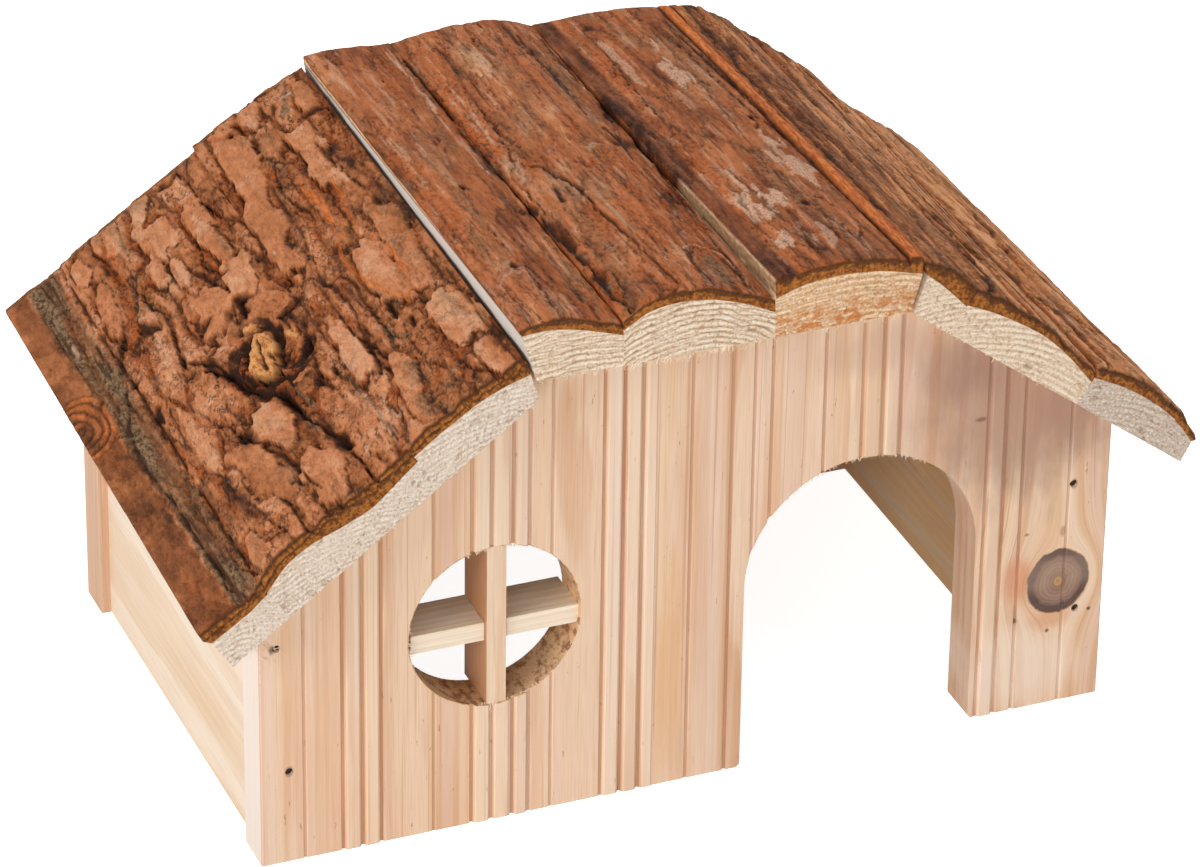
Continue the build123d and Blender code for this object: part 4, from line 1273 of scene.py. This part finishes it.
# %% Marks of the top
top_marks = rows("""
pale 0.9 0.8 0.2: 72,-27.4 50,-26.6 20,-27.6 0,-27
pale 0.5 0.7 0.2: 48,-20 30,-19.6 12,-20.6
crack 0.7 0.75 -0.6: 70,-24 40,-24.6 10,-24.8 -10,-24.4
warm 1 0.9 0.1: 30,-22.6 16,-23 2,-23.2
crack 0.8 1 -0.9: -10,-24.4 -30,-23.4 -46,-22.6 -80,-22
crack 0.9 0.9 -0.7: -19,-26 -21,-27
grey 0.8 0.9 0.1: -58,-22.4 -68,-22.4
grey 2.2 0.45 0.1: -46,-27 -72,-28
crack 0.5 0.9 -0.5: -60,-30 -70,-30.2
crack 0.8 1 -0.8: -6,-36 -8,-36.4
crack 0.9 0.9 -0.7: -48,-40 -50,-40.4
crack 0.6 0.9 -0.6: -39,-33.6 -41,-34
crack 0.8 0.9 -0.6: -71,-34 -73,-33
crack 0.4 0.7 -0.3: 22,-34 18,-34.2
pale 0.5 0.45 0.1: 60,-41 30,-40
crack 0.4 0.75 -0.5: 70,-15.4 58,-14.6 36,-13.6
crack 0.4 0.6 -0.4: 68,-4 50,-3.4
crack 0.5 0.9 -0.7: 0,-18 -6,-15 -16,-12 -30,-11
crack 0.45 0.85 -0.6: -30,-11.4 -50,-10 -76,-9
crack 0.6 0.95 -0.6: -14,-16 -24,-16.4
pale 0.8 0.4 0.2: -10,-13.4 -26,-13
crack 0.5 0.8 -0.5: 70,6.8 44,7.2 20,6.4
grey 1.8 0.4 0.1: 66,7.6 40,6.6 16,5
crack 1.3 1 -1.3: 5,7.4 3,7.2
crack 1.1 0.95 -0.9: 13,8.6 11,7
warm 1.8 0.6 0.1: -6,7 -14,5
pale 0.9 0.6 0.4: 2,3 0,-3
warm 2 0.9 0.3: 4,2 -2,0 -8,-4
warm 0.8 0.9 0: 22,-1.4 6,-1.6
pale 0.5 0.6 0.1: -10,1 -18,1.4
pale 1.1 0.5 0.1: -23,7 -27,7
crack 0.8 1 -0.8: -23,10 -30,10.4
warm 0.8 0.8 0: -80,10 -50,9.6 -34,10
crack 0.4 0.9 -0.5: -57,8.6 -55.6,4 -58,1 -64,-0.6 -76,-0.4
crack 0.4 0.9 -0.5: -57,8.6 -66,9.8 -79,9
pale 0.5 1 0.25: -66,10.4 -57,9.4 -54.6,5 -56.6,0.4 -63,-1.6 -70,-1.8
grey 4.2 0.7 0.2: -61,4.5 -77,4.5
pale 0.8 0.5 0.1: -66,-3 -74,-4
pale 0.8 1 0.4: 42.6,17.4 41.4,16
pale 0.7 1 0.2: 39.6,14 37.4,13.6
crack 0.6 0.85 -0.5: 70,13.4 44,13.4
crack 0.9 0.8 -0.6: 34,14.4 20,14.4 0,15 -20,14.6
crack 0.9 1 -0.6: 24,12.6 18,12.4
crack 1.2 0.85 -0.7: 14,9 6,9.8 -4,9.2
pale 0.6 0.6 0.1: 0,44 -8,42.6
pale 0.6 0.6 0.1: -18,32.4 -28,31.8
pale 0.9 0.7 0.1: -20,28 -25,27.4
pale 0.7 0.6 0.1: 19,21.4 16,21
grey 1.6 0.9 0.2: 46,25.4 43,22.6
crack 0.6 0.9 -0.4: 44,24 41,22
crack 0.9 1 -0.9: 7,45.4 3,45
crack 0.4 0.8 -0.4: 3,45 -1,43
crack 0.7 0.8 -0.6: -12,48 -16,48
crack 0.9 0.9 -0.6: -45,37 -47.6,37.4
crack 1.6 0.55 -0.4: -66,26 -72,31
crack 0.5 0.8 -0.6: 34,49 20,49.6
crack 1 0.7 -0.4: 68,28 69,25
crack 0.6 0.5 -0.4: -24,25 -54,21 -70,22
crack 0.5 0.7 -0.4: 30,41 26,42
crack 0.6 0.8 -0.6: 70,47.6 30,48.6 -10,49.4 -46,50.4 -80,51
""")
# Patches: the kind, its strength and lift, then the middle and the half sizes.
top_patches = rows("""
pale 0.85 0.25: 40,37.5 17,2.4
pale 0.88 0.25: -24,45 11,3
pale 0.85 0.2: -22,41 7,1.6
pale 0.92 0.3: -48,25 20,3.4
pale 0.92 0.3: -40,31 9,3
pale 0.6 0.2: -65,34.5 6,3
pale 0.6 0.1: -10,43 9,1.4
pale 0.6 0.1: 50,26.5 15,1.3
pale 0.6 0.1: -22,28 4,1.4
grey 0.3 0: 55,-8 20,6
grey 0.35 0: 30,42 28,4
grey 0.4 0: -30,37 24,4
grey 0.5 0: -60,-25 16,3
grey 0.4 0: 40,8 26,2.4
warm 0.55 0: -12,3 18,5
warm 0.7 0: 20,-22 18,1.8
warm 0.6 0: -40,10 34,2.6
warm 0.4 0: -66,6 12,8
warm 0.7 0: 50,21 26,3.2
warm 0.6 0: -20,21 40,2.4
warm 0.5 0: -10,-45 26,4
""")
print(len(top_marks), "marks and", len(top_patches), "patches on the top")


# %% Bark of the top
def top_relief(y, s):
    """Young bark in long thin flakes."""
    skin = Skin(y, s)
    numbers = skin.numbers
    shade, lift, edge, dark, halo = scales(skin, y, s, (74, 6.5, 24, 0.7, 0.5), 0.55, 1.8, 70)
    shade2, lift2, _, dark2, halo2 = scales(skin, y + 90, s + 30, (24, 3.2, 34, 0.6, 0.4), 0.35, 0.9, 80)
    layer, foot, layer_shade = terraces(y, s, 60, 5, 7, 33)
    split = skin.haze(30, 9, 29, 2, -0.2, 0.4)
    streak = cloud(y, s, 18, 1.2, 30, 4)
    blotch = cloud(y, s, 12, 4.0, 32, 4)
    rough = cloud(y, s, 2.4, 0.9, 17, 3)
    brown = np.clip(halo + 0.6 * halo2 * split, 0, 1)
    numbers["tone"] = (0.64 + 0.26 * (shade - 0.5) + 0.14 * (shade2 - 0.5) * split - 0.22 * brown
                       + 0.13 * streak + 0.18 * blotch + 0.05 * rough + 0.14 * (layer_shade - 0.5))
    # Painted shade in the seams and at the feet of torn layers.
    black = np.maximum(0.8 * dark, 0.7 * dark2 * split) + 0.25 * brown * soft_step(rough, 0.3, 0.6)
    numbers["crack"] = np.maximum(np.clip(black, 0, 1), 0.6 * foot * skin.haze(16, 4, 36, 3, -0.1, 0.3))
    numbers["warm"] = 0.45 * skin.haze(16, 4.5, 31, 4, 0.2, 0.6)
    numbers["grey"] = 0.35 * skin.haze(20, 4, 35, 4, 0.2, 0.6)
    # A painted highlight beside the flakes' edges, stored with the pale bark.
    painted_edge_highlight = soft_step(edge, 0.3, 0.6) * fade(edge, 0.7, 1.4) * skin.haze(12, 5, 27, 3, 0.2, 0.5)
    numbers["pale"] = 0.4 * soft_step(streak + 0.4 * blotch, 0.5, 0.9) + 0.4 * painted_edge_highlight
    skin.height = (0.4 * (lift - 0.4) + 0.2 * (lift2 - 0.4) * split + 0.7 * (layer - 0.5)
                   - 0.2 * brown - 0.3 * dark + 0.1 * streak + 0.08 * rough)
    for seed, (kind, values, points) in enumerate(top_patches):
        patch(skin, kind, *values, *points, seed)
    for seed, (kind, values, line) in enumerate(top_marks):
        mark(skin, kind, *values, line, 100 + seed)

    # A round orange bead along the right edge, with a line of painted shade in the groove beside it.
    bead = soft_step(s + 0.25 * cloud(y, s, 12, 4, 39, 3), 49.8, 50.4)
    beside = np.abs(s - 49.6)
    skin.clear(bead, "crack", "pale", "grey")
    numbers["ember"] = 0.95 * bead
    skin.show("crack", 0.9 * fade(beside, 0.15, 0.5))
    skin.height = skin.height * (1 - 0.8 * bead) + 0.9 * bead - 0.5 * fade(beside, 0.2, 0.8)

    # Dark red bark along the left edge of the right slab, duller bark on the front right of the middle one.
    skin.clear(0.8 * soft_step(s, 13.6, 14.6) * fade(s, 20, 23), "crack")
    maroon = soft_step(s, 14.6, 14.9) * fade(s + 0.9 * cloud(y, s, 11, 3, 37, 4), 18.6, 20.4)
    olive = soft_step(s, 6, 9) * fade(s, 12.0, 13.0) * fade(y, -20, 10)
    numbers["tone"] = numbers["tone"] - 0.3 * maroon - 0.09 * soft_step(s, 14.6, 15.4) - 0.28 * olive
    skin.clear(0.8 * maroon, "pale", "grey", "warm")
    skin.show("crack", 0.25 * maroon, maroon)

    # A strip of bare pale wood between those two slabs.
    sap = soft_step(s, 13.9, 14.2) * fade(s, 14.72, 14.8) * fade(y + 2 * cloud(y, s, 6, 3, 38), -22, -19)
    skin.clear(sap, "crack", "warm", "grey")
    skin.show("pale", sap)
    return skin


print("top ready")

# %% Bark of the right slope
right_marks = rows("""
crack 1.2 0.95 -1: -80,78 -66,73 -40,70 0,71
crack 0.5 0.9 -0.6: 80,94.4 0,95.6 -80,97
grey 1.6 0.7 0.2: 60,84 20,83 -40,84
crack 1.2 1 -1.1: 48,81 40,80
crack 0.9 0.85 -1: -60,61 -15,62.5 30,60 81,61
crack 0.9 0.85 -1: -81,52 -40,50 20,48 81,50
crack 0.6 0.8 -0.8: 60,22 0,24 -60,22
crack 0.8 0.8 -0.8: -80,34 -50,33 -20,39 10,35
pale 1 0.6 0.1: 50,70 20,71 0,70
pale 1 0.6 0.1: -10,50 -40,52
crack 0.5 0.9 -0.7: 20,76 0,75 -20,76
pale 0.9 0.6 0.1: -30,30 -60,31
""")


def right_relief(y, s):
    """Ridged bark."""
    skin = Skin(y, s)
    numbers = skin.numbers
    shade, lift, _, dark, halo = scales(skin, y, s, (44, 6.5, 44, 0.8, 0.6), 0.9, 2.4, 90)
    _, lift2, _, dark2, halo2 = scales(skin, y + 90, s + 30, (18, 3.4, 54, 0.7, 0.5), 0.5, 1.2, 95)
    layer, foot, layer_shade = terraces(y, s, 50, 6, 8, 53)
    split = skin.haze(24, 9, 49, 2, -0.3, 0.4)
    streak, rough = cloud(y, s, 20, 1.4, 50, 4), cloud(y, s, 2.4, 0.9, 57, 3)
    brown = np.clip(halo + 0.7 * halo2 * split, 0, 1)
    tone = np.clip(0.68 + 0.24 * (shade - 0.5) - 0.34 * brown + 0.1 * streak + 0.08 * rough, 0, 1)
    # Darker towards the ridge: painted shade against the stronger lamp light on the upper slope.
    numbers["tone"] = np.clip(tone + 0.16 * (layer_shade - 0.5) - 0.14 * soft_step(s, 50, 70)
                              - 0.12 * soft_step(s, 78, 86), 0, 1)
    # Painted shade in the seams and at the feet of torn layers.
    black = np.maximum(0.9 * dark, 0.7 * dark2 * split) + 0.4 * brown * soft_step(rough, 0.25, 0.6)
    numbers["crack"] = np.maximum(np.clip(black, 0, 1), 0.65 * foot * skin.haze(16, 4, 56, 3, -0.2, 0.3))
    numbers["warm"] = 0.7 * brown * skin.haze(22, 8, 47, 2, -0.1, 0.4)
    numbers["grey"] = 0.35 * skin.haze(20, 4, 48, 4, 0.2, 0.6)
    skin.height = (0.8 * (lift - 0.45) + 0.3 * (lift2 - 0.45) * split + 0.9 * (layer - 0.5)
                   - 0.3 * brown - 0.4 * dark + 0.12 * streak + 0.1 * rough)
    for seed, (kind, values, line) in enumerate(right_marks):
        mark(skin, kind, *values, line, 200 + seed)
    narrow = 1.2 * (1 - (y + HALF) / (2 * HALF))
    bead = soft_step(s, 95.9 + narrow, 96.3 + narrow)
    skin.clear(bead, "crack", "pale", "grey")
    numbers["ember"] = 0.4 * bead
    return skin


print(len(right_marks), "marks on the right slope")

# %% [markdown]
# ## Growing the bark on the slabs
# The bark is a block of its own on each slab. Its underside follows the arch of
# the wood, its top follows the arch of the bark and takes the relief. The cut
# edges are worn and a little ragged, because bark breaks where wood is sawn.

# %% Habits of the bark
# How worn the sides are, the gap to the next slab, and the break at the ends: its width, freshness and bevel.
habits = {"left": dict(worn=0.12, gap=0.0, rim=3.4, fresh=0.9, bevel=1.1),
          "top": dict(worn=0.45, gap=0.05, rim=1.5, fresh=0.5, bevel=0.6),
          "right": dict(worn=0.4, gap=0.05, rim=2.6, fresh=0.55, bevel=0.8)}


# %% Joints between slabs
def meet(name, end, v):
    """Half of the step in height to the slab next to this one, so that two slabs can blend."""
    run, _, _, skin = slabs[name]
    for other, (run2, _, _, skin2) in slabs.items():
        if other != name and run2 == run and abs(skin2[0][-1 - end][0] - skin[0][end][0]) < 0.5:
            front, back = ((skin2[i][-1 - end][1] - skin[i][end][1]) / 2 for i in (0, 1))
            return (front + (back - front) * v) * fade(v, 0.72, 0.9)
    return 0 * v


def bare_side(name, u, w, y, t):
    """Where the saw left bare wood low on the left side of two top slabs."""
    if name == "top_left":
        low = soft_step(0.62 - w + 0.1 * cloud(y, t, 9, 1, 78), 0, 0.1)
        return (u < 0.001) * low * soft_step(y, -50, -10)
    if name == "top_right":
        low = soft_step(0.22 - w + 0.1 * cloud(y, t, 9, 1, 77), 0, 0.08)
        return (u < 0.001) * low * fade(y, -24, -18)
    return 0 * w


higher = float(meet("left_middle", -1, np.zeros(1))[0])
print("half of a step up the left slope", round(higher, 2), "mm")


# %% Bark layers
def bark_layer(name, relief, material, seed):
    run, _, wood, arches = slabs[name]
    habit = habits[run]
    first, last = arches[0][0][0], arches[0][-1][0]
    width, way = abs(last - first), (1 if last > first else -1)
    points, faces = block(int(width / 0.5), 320, 6)
    u, v, w = points.T
    s_low, t_low = loft(*wood, u, v)
    s_up, t_up = loft(*arches, u, v)
    y = -HALF + 2 * HALF * v
    skin = relief(y, s_up)
    numbers = skin.numbers
    if run == "left":
        t_up = t_up + meet(name, 0, v) * fade(u * width, 0, 7)
        t_up = t_up + meet(name, -1, v) * fade((1 - u) * width, 0, 7)

    side = np.minimum(u, 1 - u) * width
    worn = fade(side, 0.0, 0.8) ** 2 * (0.5 + 0.6 * cloud(y, s_up, 5, 3, seed + 9))
    reach = habit["rim"] * (1 + 0.45 * cloud(s_up, y * 0.3, 4.0, 2, seed + 8))
    front = fade(HALF - np.abs(y), 0.2 * reach, reach)
    calm_end = fade(HALF - y, 0.5, 5.0)
    height = (skin.height - habit["worn"] * worn) * (1 - 0.65 * calm_end) - habit["bevel"] * front
    thick = np.maximum(t_up + height - t_low, 0.5)
    s, t = s_low + (s_up - s_low) * w, t_low - 0.1 + (thick + 0.1) * w
    gap = habit["gap"] * (1 + 2 * np.clip(cloud(y, t, 7, 2.5, seed) + 0.4, 0, 2) * w)
    s = s + way * gap * (np.where(u < 0.001, 1, 0) - np.where(u > 0.999, 1, 0))

    ends = (v < 0.001) | (v > 0.999)
    flank = (w < 0.999) & ((u < 0.001) | (u > 0.999)) & ~ends
    notch = np.clip(1 + cloud(s, s * 0, 5.0, 1, seed + 2), 0, 2)
    chip = 0.15 + 0.12 * (1 + cloud(s, t, 1.6, 0.8, seed + 1)) + 0.25 * w * notch
    y = np.where(ends, y - np.sign(y) * chip * np.where(v < 0.5, 1.0, 0.6), y)
    inner = 0.62 + 0.38 * soft_step(1 - w + 0.3 * cloud(s, t, 1.5, 1.0, seed + 6), 0.2, 0.6)
    numbers["rind"] = np.where(flank, 0.25, np.where(ends, inner, habit["fresh"] * front))
    skin.clear(0.7 * front, "crack")
    skin.show("crack", habit["worn"] * 0.6 * worn)
    # Painted shade on the flanks, darker low down in the gaps between slabs.
    on_flank = 0.15 + 0.4 * soft_step(1 - w, 0.3, 1.0)
    on_ends = 0.5 * soft_step(cloud(s, t, 1.2, 0.6, seed + 5), 0.3, 0.7)
    numbers["crack"] = np.where(ends, on_ends, np.where(flank, on_flank, numbers["crack"]))
    skin.clear(numbers["ember"], "crack")
    bare = bare_side(name, u, w, y, t)
    skin.show("pale", bare)
    skin.clear(bare, "crack", "rind")
    numbers["tone"] = np.clip(numbers["tone"], 0, 1)
    x, z = on_run(run, s, t)
    return solid(name + "_skin", x, y, z, faces, material, numbers, soft=True)


# %% Growing
reliefs = {"left": (left_relief, left_bark), "top": (top_relief, top_bark),
           "right": (right_relief, right_bark)}
for seed, name in enumerate(slabs):
    run = slabs[name][0]
    piece = bark_layer(name, *reliefs[run], 60 + seed)
    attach(piece, "root")
    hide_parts(name + "_bark")
    run + "_bark"
    print(piece.name, len(piece.data.vertices), "points")

# %% [markdown]
# ## Torn fibres
# The saw leaves a beard of fibres where it comes out of the wood: under the
# ends of the slabs, along the doorway's arch and on the window's rim. Each
# fibre is a thin, slightly bent spike with three sides.

# %% Fibre mesh
def fuzz(name, spikes, material):
    """Bent spikes from a list of (root, tip, sideways bend, width), as one mesh."""
    corners, sides = [], []
    for root, tip, bend, width in spikes:
        root, tip = np.array(root, float), np.array(tip, float)
        along = (tip - root) / np.linalg.norm(tip - root)
        side = np.cross(along, (0, 1, 0.01))
        side /= np.linalg.norm(side)
        face = np.cross(side, along)
        first = len(corners)
        for part, thin in ((0.0, 1.0), (0.55, 0.7)):
            middle = root + (tip - root) * part + side * bend * 4 * part * (1 - part)
            for turn in (0, 1, 2):
                angle = 2 * math.pi * turn / 3
                corners.append(middle + width / 2 * thin * (side * math.cos(angle) + face * math.sin(angle)))
        corners.append(tip)
        a, b, c, d, e, f, g = range(first, first + 7)
        sides += [(b, c, a), (e, b, a), (d, e, a), (f, c, b), (e, f, b),
                  (d, a, c), (f, d, c), (g, e, d), (g, f, e), (g, d, f)]
    x, y, z = np.array(corners).T
    piece = solid(name, x, y, z, np.array(sides), material)
    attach(piece, "root")


def pale_fibre():
    finish = Finish("fibre")
    return finish.close(finish.over(paint(238, 208, 174), paint(255, 240, 216),
                                    finish.noise((300, 300, 300)), 0.35, 0.65), 0.7)


fibre = pale_fibre()
print("fibres are", fibre.name)

# %% Torn fibres
chance = np.random.default_rng(8)
beard, frayed = [], []


def fray(x, z, dx, dz, out, bend, wide=(0.15, 0.3), deep=0.2):
    """One fibre on the front panel. It starts a little inside, and its tip stands out from the face."""
    root, tip = (x, deep - FRONT, z), (x + dx, -FRONT - out, z + dz)
    frayed.append((root, tip, chance.normal(0, bend), chance.uniform(*wide)))


# Run, from and to which s, how many, and how long the longest is.
for run, first, last, count, length in (
        ("top", -45.5, -24, 90, 2.4), ("top", -24, 14, 260, 3.6), ("top", 15, 50, 130, 2.4),
        ("right", 88, 40, 80, 1.5), ("right", 36, 2, 30, 1.1), ("left", 8, 94, 120, 1.5)):
    for _ in range(count):
        s = first + (last - first) * chance.uniform()
        x, z = on_run(run, s, chance.uniform(0.1, 1.2))
        long = length * chance.uniform(0.35, 1.0)
        lean = chance.normal(0.4, 1.0)
        y = 0.25 - HALF + 0.5 * chance.uniform()
        tip = (x + long * math.sin(lean), y - 0.1 + 0.3 * chance.uniform(), z - long * math.cos(lean))
        beard.append(((x, y, z), tip, chance.normal(0, 0.5), chance.uniform(0.24, 0.5)))
fuzz("slab_beard", beard, fibre)

# %% Fibres of the front panel
for _ in range(90):  # the doorway's arch
    turn = math.radians(chance.uniform(58, 132))
    r = DOOR_ARCH[2] + 0.3 * chance.uniform()
    long = chance.uniform(0.3, 1.2)
    lean = chance.normal(0, 0.6)
    fray(DOOR_ARCH[0] + r * math.cos(turn), DOOR_ARCH[1] + r * math.sin(turn),
         long * math.sin(lean), -long * math.cos(lean), 0.1, 0.15)
for _ in range(110):  # the window's rim
    low, right, left = chance.uniform(265, 345), chance.uniform(75, 110), chance.uniform(170, 200)
    turn = math.radians(chance.choice([low, right, left], p=[0.6, 0.25, 0.15]))
    r = WINDOW[2] - 0.1
    long = chance.uniform(0.3, 1.1)
    aim = turn + math.pi + chance.normal(0, 0.7)
    fray(WINDOW[0] + r * math.cos(turn), WINDOW[1] + r * math.sin(turn),
         long * math.cos(aim), long * math.sin(aim), 0.2, 0.15)
for _ in range(26):  # under the window
    x, z = chance.uniform(-55, -49.5), WINDOW[1] - WINDOW[2] + chance.uniform(-0.6, 0.8)
    long = chance.uniform(1.0, 3.4)
    fray(x, z, chance.normal(0, 0.4), -long, 0.45, 0.3, (0.2, 0.4))
for x0, z0, count in ((-110.5, 63.5, 16), (-109.5, 60.0, 8)):  # beside a brad
    for _ in range(count):
        x, z = x0 + chance.normal(0, 1.6), z0 + chance.normal(0, 1.2)
        long, lean = chance.uniform(0.8, 2.2), chance.normal(0.5, 0.5)
        fray(x, z, long * math.sin(lean), -long * math.cos(lean), 0.6, 0.2, deep=0.1)
fuzz("panel_fray", frayed, fibre)
print(len(beard), "fibres under the slabs,", len(frayed), "on the front panel")

# %% [markdown]
# ## Inside the box
# Every mesh made here is clipped to the box of the solid parts, so the dressed
# house stays inside it.
